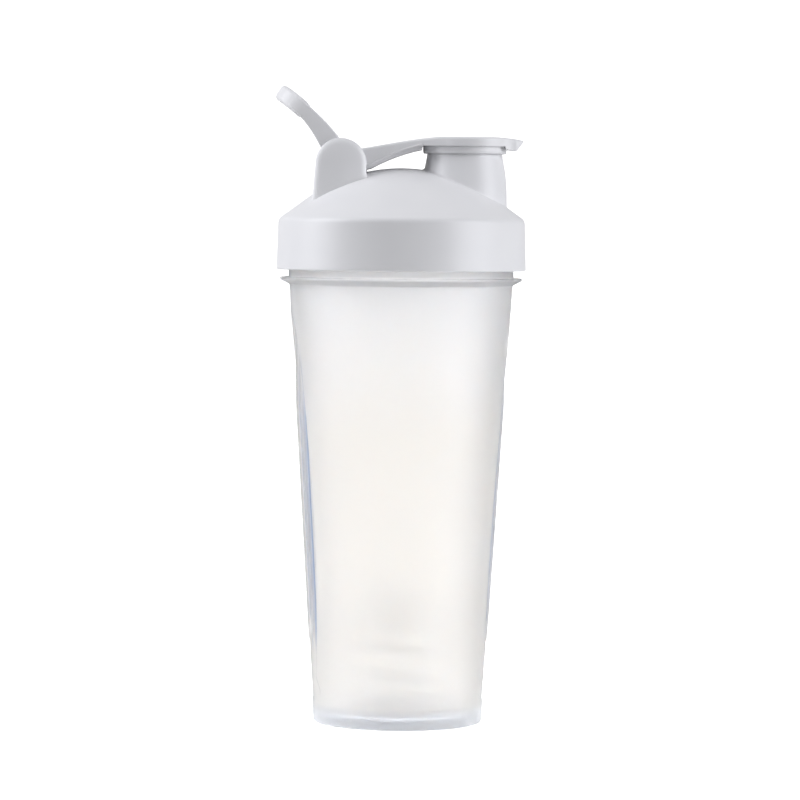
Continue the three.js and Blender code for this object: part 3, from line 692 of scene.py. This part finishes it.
# %% Cap loft
lip = 1 - smooth(ARM_END - 0.4, ARM_END + 0.4, stations)
half_y, half_z = section(width, low_z, top_z, lip)
full_y = np.hstack([half_y, -half_y[:, -2:0:-1]])
full_z = np.hstack([half_z, half_z[:, -2:0:-1]])
full_x = stations[:, None] + 0 * full_y
cap_points = np.stack([full_x, full_y, full_z], axis=2)
cap_arm = skin(cap_points)

# %% Barrel, collar and boss of the cap
EYE_BORE = 1.65  # the pin and its running clearance


def sleeve(radius, low, high):
    """Profile of a tube on the pin, from low to high along Y: its bore, its outside and its rounded ends."""
    return rounded([
        (EYE_BORE, low, 0.15), (radius, low, 0.5), (radius, high, 0.5), (EYE_BORE, high, 0.15),
    ], 4, 3.0, closed=True)


SUNK = 0.6  # how far the collar and the boss reach up into the plate
collar = rounded([
    (COLLAR_INNER, COLLAR_LOW, 0.3), (COLLAR_OUTER - 0.1, COLLAR_LOW, 0.45),
    (COLLAR_OUTER - 0.1, COLLAR_LOW + 0.62, 0.12), (COLLAR_OUTER, COLLAR_LOW + 0.8, 0.1),
    (COLLAR_OUTER, PLATE_UNDER + SUNK, 0), (COLLAR_INNER, PLATE_UNDER + SUNK, 0),
], 5, 2.0, closed=True)
PLUG_TOP_RADIUS = float(plug_high[0] - plug_low[0]) / 2
PLUG_WALL, PLUG_FLOOR = 2.0, 1.6
boss_radius = PLUG_TOP_RADIUS - 2.3
boss_low, boss_high = plug_low[2] + 1.9, PLATE_UNDER + SUNK
boss = rounded([
    (0, boss_low, 0), (boss_radius, boss_low, 0.6), (boss_radius, boss_high, 0), (0, boss_high, 0),
], 5, 2.0)
cap = object_of("flip_cap_moulding", mesh_of("flip_cap_moulding", *join(
    cap_arm,
    skin(barrel(sleeve(BARREL_RADIUS, -BARREL_HALF, BARREL_HALF)), ring=True),
    skin(turned(collar, 128, (SPOUT_X, 0)), ring=True),
    skin(turned(boss, 64, (SPOUT_X, 0)), close=False),
)))

# %% [markdown]
# ## Carry loop
# The loop is one U-shaped band that stands up from the pin and leans over, with a broader rounded bar across its
# top. Its middle line is a curve in the side view. The band is a rounded-rectangle section carried up one arm,
# round a quarter circle, across and back down, so the outer edge runs on without a break. The bar is the same
# kind of section, longer along the loop, and its ends are cut back so that its corners are round from above.

# %% Middle line of the loop
LOOP_IN, LOOP_OUT = 11.5, 15.1
ROOT_LEAN, TIP_LEAN = math.radians(114.8), math.radians(147)
ROOT_RUN, TIP_RUN = 18.3, 18.0
root = np.array([PIVOT_X, PIVOT_Z])
bend = root + ROOT_RUN * np.array([math.cos(ROOT_LEAN), math.sin(ROOT_LEAN)])
tip = bend + TIP_RUN * np.array([math.cos(TIP_LEAN), math.sin(TIP_LEAN)])
middle = bezier([root, bend, tip], 400)
steps = np.linalg.norm(np.diff(middle, axis=0), axis=1)
run = np.concatenate([[0], np.cumsum(steps)])
LOOP_LENGTH = float(run[-1])
print("loop length along its middle line:", round(LOOP_LENGTH, 2), "mm")


def along_loop(s):
    """Point, direction and outward normal of the middle line at a distance from the pin; past the tip it runs
    straight on."""
    x = np.interp(s, run, middle[:, 0])
    z = np.interp(s, run, middle[:, 1])
    ahead = np.gradient(middle, axis=0)
    ahead /= np.linalg.norm(ahead, axis=1, keepdims=True)
    dx, dz = np.interp(s, run, ahead[:, 0]), np.interp(s, run, ahead[:, 1])
    past = np.maximum(s - LOOP_LENGTH, 0)
    return x + past * dx, z + past * dz, dx, dz


# %% Rounded-rectangle section
ARM_HALF = (LOOP_OUT - LOOP_IN) / 2


def box_section(half_a, half_b, radius, steps=6):
    """A rounded rectangle: each quarter's arc is centred radius in from both sides, and a flat joins them.
    Returns arrays (stations, points) for both directions."""
    turn = np.linspace(0, np.pi / 2, steps + 1)
    quarters = [turn + k * np.pi / 2 for k in range(4)]
    angle = np.concatenate(quarters)
    sign_a = np.repeat([1, -1, -1, 1], steps + 1)
    sign_b = np.repeat([1, 1, -1, -1], steps + 1)
    a, b, r = (np.asarray(v, float)[:, None] for v in (half_a, half_b, radius))
    return sign_a * (a - r) + r * np.cos(angle), sign_b * (b - r) + r * np.sin(angle)


# %% U-shaped band
CORNER, INNER_CORNER, BAND_CORNER = 12.0, 5.5, 11.5
EYE_RADIUS, ARM_THIN, THINNING, BAND_EDGE = 4.4, 2.6, 0.75, 0.7
UP_STEPS, OVER_STEPS, CORNER_STEPS = 70, 20, 28


def u_path():
    """The middle of the band's width, as distance along the loop and place across it: up one arm, round a
    quarter circle, across, and back the same way. Also the direction at each point."""
    turn = np.linspace(0, np.pi / 2, CORNER_STEPS)
    radius, corner = BAND_CORNER - ARM_HALF, LOOP_LENGTH - BAND_CORNER
    up = np.linspace(0, corner, UP_STEPS)[:-1]
    over = np.linspace(-LOOP_OUT + BAND_CORNER, LOOP_OUT - BAND_CORNER, OVER_STEPS)[1:-1]
    s = np.concatenate([
        up, corner + radius * np.sin(turn), np.full(len(over), corner + radius),
        corner + radius * np.cos(turn), up[::-1],
    ])
    y = np.concatenate([
        np.full(len(up), -LOOP_OUT + ARM_HALF), -LOOP_OUT + BAND_CORNER - radius * np.cos(turn), over,
        LOOP_OUT - BAND_CORNER + radius * np.sin(turn), np.full(len(up), LOOP_OUT - ARM_HALF),
    ])
    path = np.stack([s, y], axis=1)
    ahead = np.gradient(path, axis=0)
    return path, ahead / np.linalg.norm(ahead, axis=1, keepdims=True)


def u_band():
    """The section carried round the path: its first direction is square to the path within the band, its
    second is the band's own normal. The band thins from the pin to three quarters of its length."""
    path, ahead = u_path()
    half = EYE_RADIUS + (ARM_THIN - EYE_RADIUS) * smooth(0, THINNING, path[:, 0] / LOOP_LENGTH)
    a, n = box_section(np.full(len(path), ARM_HALF), half, np.full(len(path), BAND_EDGE))
    s = path[:, :1] + ahead[:, 1:] * a
    y = path[:, 1:] - ahead[:, :1] * a
    x0, z0, dx, dz = along_loop(s)
    return skin(np.stack([x0 + dz * n, y, z0 - dx * n], axis=2))


band = u_band()
print("band of the loop:", len(band[0]), "points")

# %% Outline of the crossbar
BAR_LENGTH, BAR_HALF, BAR_TIP, BAR_OUT = 9.0, 3.1, 1.1, LOOP_OUT - 0.45
BAR_EDGE, BAR_END, BAR_REACH, BAR_LEAST = 1.7, 0.5, 2.5, 1.6
y_rows = np.concatenate([
    -BAR_OUT + BAR_END * (1 - np.cos(np.linspace(0, np.pi / 2, 9))),
    np.linspace(-BAR_OUT + BAR_END, BAR_OUT - BAR_END, 70)[1:-1],
    BAR_OUT - BAR_END * (1 - np.cos(np.linspace(np.pi / 2, 0, 9))),
])
deep = np.clip(np.abs(y_rows) - (BAR_OUT - CORNER), 0, CORNER)
far_end = LOOP_LENGTH + BAR_TIP - (CORNER - np.sqrt(np.maximum(CORNER**2 - deep**2, 0)))
inner = np.clip(np.abs(y_rows) - (LOOP_IN - INNER_CORNER), 0, INNER_CORNER)
near_end = LOOP_LENGTH - BAR_LENGTH - (INNER_CORNER - np.sqrt(np.maximum(INNER_CORNER**2 - inner**2, 0)))
near_end = np.maximum(near_end, LOOP_LENGTH - BAR_LENGTH - BAR_REACH)
far_end = np.maximum(far_end, near_end + BAR_LEAST)

# %% Crossbar and eyes
from_end = np.clip((BAR_OUT - np.abs(y_rows)) / BAR_END, 0, 1)
round_end = np.sqrt(from_end * (2 - from_end))
half_s = (far_end - near_end) / 2 - BAR_END * (1 - round_end)
half_n = BAR_HALF - BAR_END * (1 - round_end)
edge = np.minimum(BAR_EDGE, half_s * 0.8)
a, b = box_section(half_s, half_n, np.minimum(edge, half_n * 0.8))
s = (far_end + near_end)[:, None] / 2 + a
x0, z0, dx, dz = along_loop(s)
bar_points = np.stack([x0 + dz * b, y_rows[:, None] + 0 * a, z0 - dx * b], axis=2)
crossbar = skin(bar_points[:, ::-1])
eye_ends = (-LOOP_OUT, -LOOP_IN), (LOOP_IN, LOOP_OUT)
eyes = [skin(barrel(sleeve(EYE_RADIUS, low, high)), ring=True) for low, high in eye_ends]
loop = object_of("carry_loop_moulding", mesh_of("carry_loop_moulding", *join(band, crossbar, *eyes)))

# %% [markdown]
# ## Seals
# The gasket is a flat silicone ring with two low ribs that press on the rim. The plug is a soft cup on the
# cap's boss, with a bead round it that squeezes into the spout.

# %% Gasket
seal_out, seal_in = float(seal_high[0]), SEAL_OUTER + SEAT_GAP
seal_base, seal_top = seal_low[2], seal_high[2]
RIB_WIDTH, RIB_FOOT, RIB_HEIGHT = 1.0, 1.4, 0.25
seal_rows = rounded([
    (seal_in, seal_base, 0.3), (seal_in + RIB_WIDTH, seal_base, 0.15),
    (seal_in + RIB_FOOT, seal_base + RIB_HEIGHT, 0.15), (seal_out - RIB_FOOT, seal_base + RIB_HEIGHT, 0.15),
    (seal_out - RIB_WIDTH, seal_base, 0.15), (seal_out, seal_base, 0.3),
    (seal_out, seal_top, 0.4), (seal_in, seal_top, 0.4),
], 4, 1.0, closed=True)
gasket = object_of("lid_gasket_ring", mesh_of("lid_gasket_ring", *skin(turned(seal_rows, 192), ring=True)))

# %% Plug
p_low, p_high, p_out = float(plug_low[2]), float(plug_high[2]), PLUG_TOP_RADIUS
plug_rows = rounded([
    (0, p_low, 0), (p_out - 1.0, p_low, 0.9), (p_out - 0.5, p_low + 1.6, 0.4), (p_out - 0.15, p_low + 2.1, 0.4),
    (p_out - 0.15, p_low + 2.6, 0.4), (p_out - 0.5, p_low + 3.1, 0.4), (p_out - 0.05, p_high - 0.9, 0.3),
    (p_out, p_high, 0.25), (p_out - PLUG_WALL, p_high, 0.3), (p_out - PLUG_WALL, p_low + PLUG_FLOOR, 0.4),
    (0, p_low + PLUG_FLOOR, 0),
], 5, 1.5)
plug_skin = skin(turned(plug_rows, 128, (SPOUT_X, 0)), close=False)
plug = object_of("spout_plug_cup", mesh_of("spout_plug_cup", *plug_skin))

# %% [markdown]
# ## Pin and whisk ball
# The pin is a 3 mm steel rod with chamfered ends. The ball is one 2 mm wire wound from pole to pole: the wire's
# middle line is a spherical spiral, and a circle is carried along it in the frame made by the line's direction
# and the ball's own outward direction, so the tube never twists.

# %% Pin
PIN_RADIUS = 1.5
pin_rows = rounded([
    (0, pin_low[1], 0), (PIN_RADIUS, pin_low[1], 0.35), (PIN_RADIUS, pin_high[1], 0.35), (0, pin_high[1], 0),
], 5, 2.0)
pin = object_of("hinge_pin_rod", mesh_of("hinge_pin_rod", *skin(barrel(pin_rows), close=False)))

# %% Whisk ball
BALL_RADIUS, WIRE, TURNS, POLE = 23.0, 1.0, 6, math.radians(12)
END_STEPS = 6
ball_centre = WIRE + (BALL_RADIUS - WIRE) * math.cos(POLE) + float(ball_low[2])


def wire_tube(steps=900, sides=14):
    """The spiral's angle from the pole grows evenly from pole to pole while it makes its turns. The tube adds
    the wire's radius times the cosine and sine of the section's angle, and both ends are half-round."""
    grow = np.sin(np.linspace(0, np.pi / 2, END_STEPS + 1))[:-1]
    t = np.linspace(0, 1, steps)
    size = np.ones(steps)
    polar = POLE + (np.pi - 2 * POLE) * t
    turn = 2 * np.pi * TURNS * t
    unit = np.stack([np.sin(polar) * np.cos(turn), np.sin(polar) * np.sin(turn), np.cos(polar)], axis=1)
    line = (BALL_RADIUS - WIRE) * unit
    ahead = np.gradient(line, axis=0)
    ahead /= np.linalg.norm(ahead, axis=1, keepdims=True)
    start = line[0] - ahead[0] * WIRE * np.cos(np.arcsin(grow))[:, None]
    end = line[-1] + ahead[-1] * WIRE * np.cos(np.arcsin(grow[::-1]))[:, None]
    line = np.vstack([start, line, end])
    ahead, unit = (np.vstack([np.repeat(v[:1], END_STEPS, 0), v, np.repeat(v[-1:], END_STEPS, 0)])
                   for v in (ahead, unit))
    size = np.concatenate([grow, size, grow[::-1]])
    side = np.cross(ahead, unit)
    side /= np.linalg.norm(side, axis=1, keepdims=True)
    up = np.cross(side, ahead)
    angle = np.linspace(0, 2 * np.pi, sides, endpoint=False)[None, :, None]
    tube = np.cos(angle) * side[:, None, :] - np.sin(angle) * up[:, None, :]
    return line[:, None, :] + WIRE * size[:, None, None] * tube + np.array([0, 0, ball_centre])


whisk = object_of("whisk_ball_wire", mesh_of("whisk_ball_wire", *skin(wire_tube())))

# %% [markdown]
# ## Finishes
# Three plastics and one metal. A finish starts as a hex colour given as the eye sees it, which one function
# turns to the linear values that the shader needs, and one small function adds a node with its settings.


# %% Node and colour helpers
def colour(text):
    """sRGB hex to linear: below 0.04045 a twelfth-part line, above it a power of 2.4."""
    values = [int(text[i : i + 2], 16) / 255 for i in (0, 2, 4)]
    return [v / 12.92 if v <= 0.04045 else ((v + 0.055) / 1.055) ** 2.4 for v in values] + [1.0]


def add(tree, kind, settings=(), links=()):
    """A node of a kind. Settings are (name or socket index, value) pairs; links are (socket, output) pairs."""
    made = tree.nodes.new(kind)
    for key, value in settings:
        if isinstance(key, str) and hasattr(made, key):
            setattr(made, key, value)
        else:
            made.inputs[key].default_value = value
    for key, output in links:
        tree.links.new(output, made.inputs[key])
    return made


def finish(name, shade):
    """A material whose nodes are added by shade(tree), which returns the shader node."""
    made = bpy.data.materials.new(name)
    made.use_nodes = True
    tree = made.node_tree
    tree.nodes.clear()
    shader = shade(tree)
    add(tree, "ShaderNodeOutputMaterial", (), [("Surface", shader.outputs[0])])
    return made


def per_mm(size):
    """Noise scale whose features are about this many millimetres apart."""
    return 1 / (size * MM)


# %% [markdown]
# ### Moulded polypropylene
# The lid, cap and loop are injection-moulded white polypropylene. The tool is spark-eroded, so the surface has
# a fine grain of about 0.3 mm that turns reflections into a soft satin sheen, and the plastic shrinks a little
# as it cools, which leaves very shallow waves about 15 mm apart. The grain is drawn at 0.35 mm so that it shows.


# %% White plastic
def moulded(tree):
    """Noise about 15 mm apart mixes two whites and lifts the surface; finer noise sets the roughness."""
    place = add(tree, "ShaderNodeTexCoord").outputs["Object"]
    grain = add(tree, "ShaderNodeTexNoise", [("Scale", per_mm(0.35)), ("Detail", 2.0)], [("Vector", place)])
    wave = add(tree, "ShaderNodeTexNoise", [("Scale", per_mm(15)), ("Detail", 1.0)], [("Vector", place)])
    tint = add(tree, "ShaderNodeMix", [("data_type", "RGBA"), (6, colour("EEEEF0")), (7, colour("F3F3F4"))],
               [(0, wave.outputs["Fac"])])
    rough = add(tree, "ShaderNodeMapRange", [("From Min", 0.3), ("From Max", 0.7), ("To Min", 0.33),
                ("To Max", 0.41)], [("Value", grain.outputs["Fac"])])
    shallow = add(tree, "ShaderNodeBump", [("Strength", 0.35), ("Distance", 0.00004)],
                  [("Height", wave.outputs["Fac"])])
    fine = add(tree, "ShaderNodeBump", [("Strength", 0.25), ("Distance", 0.00001)],
               [("Height", grain.outputs["Fac"]), ("Normal", shallow.outputs[0])])
    return add(tree, "ShaderNodeBsdfPrincipled", [("IOR", 1.49)], [
        ("Base Color", tint.outputs[2]), ("Roughness", rough.outputs[0]), ("Normal", fine.outputs[0])])


white = finish("moulded_white_polypropylene", moulded)

# %% [markdown]
# ### Frosted polypropylene
# The bottle wall is natural polypropylene with a matt outside. It scatters nearly all of the light that enters
# it, so it looks milky and lit from within rather than clear. Scattering under the surface does this better
# than transparency, and a rough transmission lets the light of the room through the thin wall. Along the grooves
# beside the ribs a bluish line is painted shade, for the light bent through the thicker wall there. The upper body
# and neck are painted a little lighter against the shade under the lid, and the lowest 8 mm is tinted darker and
# bluer.


# %% Frosted wall
GROOVES = (9.0, 16.2)  # degrees from a panel's middle
GROOVE_CORE, GROOVE_EDGE = math.radians(0.8), math.radians(1.9)


def frosted(tree):
    """The angle about the axis is the arctangent of y over x, and its distance from each panel's middle is that
    angle folded at every quarter turn. The painted groove shade is full within GROOVE_CORE of a groove and gone at
    GROOVE_EDGE. Tints by height fade in over the ranges given in millimetres: painted light on the upper body and
    neck, and a darker, bluer tint over the lowest 8 mm."""
    place = add(tree, "ShaderNodeTexCoord").outputs["Object"]
    grain = add(tree, "ShaderNodeTexNoise", [("Scale", per_mm(0.5)), ("Detail", 3.0)], [("Vector", place)])
    cloud = add(tree, "ShaderNodeTexNoise", [("Scale", per_mm(28)), ("Detail", 2.0)], [("Vector", place)])
    tint = add(tree, "ShaderNodeMix", [("data_type", "RGBA"), (6, colour("F6F4F1")), (7, colour("FAF8F5"))],
               [(0, cloud.outputs["Fac"])])
    axes = add(tree, "ShaderNodeSeparateXYZ", (), [(0, place)])
    angle = add(tree, "ShaderNodeMath", [("operation", "ARCTAN2")],
                [(0, axes.outputs["Y"]), (1, axes.outputs["X"])])
    height = axes.outputs["Z"]
    eased = add(tree, "ShaderNodeMath", [("operation", "SUBTRACT"), (1, math.radians(GRIP_TURN))],
                [(0, angle.outputs[0])])
    off = add(tree, "ShaderNodeMath", [("operation", "PINGPONG"), (1, math.pi / 2)], [(0, eased.outputs[0])])
    gaps = []
    for degrees in GROOVES:
        away = add(tree, "ShaderNodeMath", [("operation", "SUBTRACT"), (1, math.radians(degrees))],
                   [(0, off.outputs[0])])
        gaps.append(add(tree, "ShaderNodeMath", [("operation", "ABSOLUTE")], [(0, away.outputs[0])]))
    nearest = add(tree, "ShaderNodeMath", [("operation", "MINIMUM")],
                  [(0, gaps[0].outputs[0]), (1, gaps[1].outputs[0])])
    # painted shade: a blue-grey stripe along each groove stands in for light bent through the thicker wall beside
    # the ribs
    painted_groove_shade = add(tree, "ShaderNodeMapRange", [("From Min", GROOVE_CORE), ("From Max", GROOVE_EDGE),
                 ("To Min", 1.0), ("To Max", 0.0)], [("Value", nearest.outputs[0])])
    below = add(tree, "ShaderNodeMapRange", [("From Min", 115 * MM), ("From Max", 140 * MM), ("To Min", 1.0),
                ("To Max", 0.0)], [("Value", height)])
    above = add(tree, "ShaderNodeMapRange", [("From Min", 26 * MM), ("From Max", 36 * MM)], [("Value", height)])
    ends = add(tree, "ShaderNodeMath", [("operation", "MULTIPLY")], [(0, below.outputs[0]), (1, above.outputs[0])])
    line = add(tree, "ShaderNodeMath", [("operation", "MULTIPLY")], [(0, painted_groove_shade.outputs[0]), (1, ends.outputs[0])])
    # painted light: from 110 mm up, the upper body and neck are painted lighter and less warm, against the shade
    # that the lid casts there
    upper = add(tree, "ShaderNodeMapRange", [("From Min", 110 * MM), ("From Max", 164 * MM)], [("Value", height)])
    painted_top_light = add(tree, "ShaderNodeMix", [("data_type", "RGBA"), (7, colour("FBFBFC"))],
                 [(0, upper.outputs[0]), (6, tint.outputs[2])])
    # the lowest 8 mm is tinted darker and bluer
    lowest = add(tree, "ShaderNodeMapRange", [("From Min", 4 * MM), ("From Max", 8 * MM), ("To Min", 1.0),
                 ("To Max", 0.0)], [("Value", height)])
    footed = add(tree, "ShaderNodeMix", [("data_type", "RGBA"), (7, colour("E4E6EA"))],
                 [(0, lowest.outputs[0]), (6, painted_top_light.outputs[2])])
    # the painted groove shade mixes in a blue-grey
    tint = add(tree, "ShaderNodeMix", [("data_type", "RGBA"), (7, colour("9FB1D2"))],
               [(0, line.outputs[0]), (6, footed.outputs[2])])
    rough = add(tree, "ShaderNodeMapRange", [("From Min", 0.3), ("From Max", 0.7), ("To Min", 0.42),
                ("To Max", 0.52)], [("Value", grain.outputs["Fac"])])
    fine = add(tree, "ShaderNodeBump", [("Strength", 0.3), ("Distance", 0.00002)],
               [("Height", grain.outputs["Fac"])])
    return add(tree, "ShaderNodeBsdfPrincipled", [
        ("IOR", 1.49), ("Transmission Weight", 0.85), ("Subsurface Weight", 0.6), ("Subsurface Scale", 0.003),
        ("Subsurface Radius", (1.0, 0.9, 0.8))], [
        ("Base Color", tint.outputs[2]), ("Roughness", rough.outputs[0]), ("Normal", fine.outputs[0])])


frost = finish("frosted_polypropylene", frosted)

# %% [markdown]
# ### Silicone and steel
# The seals are translucent white silicone, softer and more matt than the lid. The pin and the ball are drawn
# stainless wire: a metal with a fine roughness from the die, and a few brighter and duller patches.


# %% Silicone
def silicone(tree):
    """Noise about 1.2 mm apart, like the dust that silicone holds, mixes two whites and sets the roughness."""
    place = add(tree, "ShaderNodeTexCoord").outputs["Object"]
    dust = add(tree, "ShaderNodeTexNoise", [("Scale", per_mm(1.2)), ("Detail", 3.0)], [("Vector", place)])
    tint = add(tree, "ShaderNodeMix", [("data_type", "RGBA"), (6, colour("DFE1E4")), (7, colour("E9EAEC"))],
               [(0, dust.outputs["Fac"])])
    rough = add(tree, "ShaderNodeMapRange", [("From Min", 0.3), ("From Max", 0.7), ("To Min", 0.5),
                ("To Max", 0.66)], [("Value", dust.outputs["Fac"])])
    fine = add(tree, "ShaderNodeBump", [("Strength", 0.3), ("Distance", 0.00002)],
               [("Height", dust.outputs["Fac"])])
    return add(tree, "ShaderNodeBsdfPrincipled", [("IOR", 1.41), ("Subsurface Weight", 0.3),
        ("Subsurface Scale", 0.002), ("Subsurface Radius", (1.0, 1.0, 1.0))], [
        ("Base Color", tint.outputs[2]), ("Roughness", rough.outputs[0]), ("Normal", fine.outputs[0])])


soft = finish("white_silicone", silicone)


# %% Stainless wire
def drawn(tree):
    """Noise about 9 mm apart mixes two greys; noise about 0.6 mm apart sets the roughness and the fine relief."""
    place = add(tree, "ShaderNodeTexCoord").outputs["Object"]
    lines = add(tree, "ShaderNodeTexNoise", [("Scale", per_mm(0.6)), ("Detail", 3.0)], [("Vector", place)])
    patch = add(tree, "ShaderNodeTexNoise", [("Scale", per_mm(9)), ("Detail", 2.0)], [("Vector", place)])
    tint = add(tree, "ShaderNodeMix", [("data_type", "RGBA"), (6, colour("D2D3D5")), (7, colour("E6E6E7"))],
               [(0, patch.outputs["Fac"])])
    rough = add(tree, "ShaderNodeMapRange", [("From Min", 0.3), ("From Max", 0.7), ("To Min", 0.18),
                ("To Max", 0.3)], [("Value", lines.outputs["Fac"])])
    fine = add(tree, "ShaderNodeBump", [("Strength", 0.2), ("Distance", 0.00001)],
               [("Height", lines.outputs["Fac"])])
    return add(tree, "ShaderNodeBsdfPrincipled", [("Metallic", 1.0)], [
        ("Base Color", tint.outputs[2]), ("Roughness", rough.outputs[0]), ("Normal", fine.outputs[0])])


steel = finish("drawn_stainless_steel", drawn)

# %% [markdown]
# ## Dress each piece
# Each row gives a piece, its finish, the body it rides on, the solid that it stands for, and a slot name. The
# piece gets its finish and rides on its body, and the solid is hidden.

# %% Finishes, bodies and slots
for piece, look, body, nodes, slot in (
    (bottle, frost, "bottle", ("bottle_body",), "frosted_bottle"),
    (lid_shell, white, "lid", ("lid",), "white_plastic"),
    (spout, white, "lid", ("lid",), "white_plastic"),
    (ears, white, "lid", ("lid",), "white_plastic"),
    (cap, white, "cap", ("flip_cap",), "white_plastic"),
    (loop, white, "loop", ("carry_loop",), "white_plastic"),
    (gasket, soft, "gasket", ("lid_gasket",), "soft_seal"),
    (plug, soft, "cap", ("spout_plug",), "soft_seal"),
    (pin, steel, "lid", ("hinge_pin",), "steel"),
    (whisk, steel, "whisk", ("whisk_ball",), "steel"),
):
    piece.data.materials.clear()
    piece.data.materials.append(look)
    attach(piece, body)
    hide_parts(*nodes)
    print(piece.name, len(piece.data.polygons), "faces")

# %% [markdown]
# ## Studio
# A pale floor that glows a little, a large soft light at each side, and a faint one above. White plastic on a
# white ground needs its edges drawn by shade, so the side lights are bright and the front stays a step darker.

# %% Floor
floor_mesh = bpy.data.meshes.new("floor")
FAR = 0.17
floor_mesh.from_pydata([(-FAR, -FAR, 0), (FAR, -FAR, 0), (FAR, FAR, 0), (-FAR, FAR, 0)], [], [(0, 1, 2, 3)])
floor = object_of("floor", floor_mesh)


def paper(tree):
    """Matt white paper with a little light of its own, so that the ground stays nearly white."""
    return add(tree, "ShaderNodeBsdfPrincipled", [
        ("Base Color", colour("FFFFFF")), ("Roughness", 0.9), ("Emission Color", colour("FFFFFF")),
        ("Emission Strength", 0.75)])


floor.data.materials.append(finish("white_paper", paper))

# %% World
AMBIENT, BACKDROP, REFLECTED = 0.1, 1.43, 0.6  # strength for diffuse, seen and glossy rays
world = bpy.data.worlds.new("studio")
bpy.context.scene.world = world
world.use_nodes = True
world.node_tree.nodes.clear()
tree = world.node_tree
ray = add(tree, "ShaderNodeLightPath")
seen = add(tree, "ShaderNodeMath", [("operation", "MAXIMUM")],
           [(0, ray.outputs["Is Camera Ray"]), (1, ray.outputs["Is Transmission Ray"])])
lit = add(tree, "ShaderNodeMapRange", [("To Min", AMBIENT), ("To Max", BACKDROP)], [("Value", seen.outputs[0])])
shine = add(tree, "ShaderNodeMapRange", [("To Min", 0.0), ("To Max", REFLECTED)],
            [("Value", ray.outputs["Is Glossy Ray"])])
level = add(tree, "ShaderNodeMath", [("operation", "MAXIMUM")], [(0, lit.outputs[0]), (1, shine.outputs[0])])
sky = add(tree, "ShaderNodeBackground", [("Color", (1, 1, 1, 1))], [("Strength", level.outputs[0])])
add(tree, "ShaderNodeOutputWorld", (), [("Surface", sky.outputs[0])])
print("world strengths:", AMBIENT, BACKDROP, REFLECTED)

# %% Lights

def softbox(name, place, aim, width, height, power, tint):
    """An area light at a place, turned so that its face looks at aim: the yaw is the arctangent of the level
    direction, and the pitch that of the height over the level distance."""
    light = bpy.data.lights.new(name, "AREA")
    light.shape, light.size, light.size_y = "RECTANGLE", width, height
    light.energy, light.color = power, colour(tint)[:3]
    made = bpy.data.objects.new(name, light)
    bpy.context.scene.collection.objects.link(made)
    away = np.array(place) - np.array(aim)
    yaw = math.atan2(away[0], -away[1])
    pitch = math.atan2(away[2], math.hypot(away[0], away[1]))
    made.location = place
    made.rotation_euler = (math.pi / 2 - pitch, 0, yaw)
    print(name, power, "W")


softbox("left_softbox", (-1.0, -0.15, 0.66), (0, 0, 0.17), 0.8, 1.2, 13.2, "F9FAFF")
softbox("right_softbox", (1.02, -0.42, 0.45), (0, 0, 0.16), 0.8, 1.1, 10.8, "F9FAFF")
softbox("top_softbox", (0, 0.0, 1.1), (0, 0, 0.14), 0.8, 0.8, 1.1, "FFFFFF")

# %% Camera
LENS, SENSOR, CAMERA_PLACE = 171.3, 36, (0, -1.43, 0.190)
PITCH, ROLL = math.radians(2.76), math.radians(0.52)
scene = bpy.context.scene
scene.view_settings.view_transform = "Standard"
lens = bpy.data.cameras.new("camera")
lens.sensor_width = SENSOR
lens.lens = LENS
camera = bpy.data.objects.new("camera", lens)
scene.collection.objects.link(camera)
camera.location = CAMERA_PLACE
turned_camera = Matrix.Rotation(math.pi / 2 - PITCH, 4, "X") @ Matrix.Rotation(ROLL, 4, "Z")
camera.rotation_euler = turned_camera.to_euler()
scene.camera = camera
print("camera at", CAMERA_PLACE, "with a lens of", LENS, "mm")
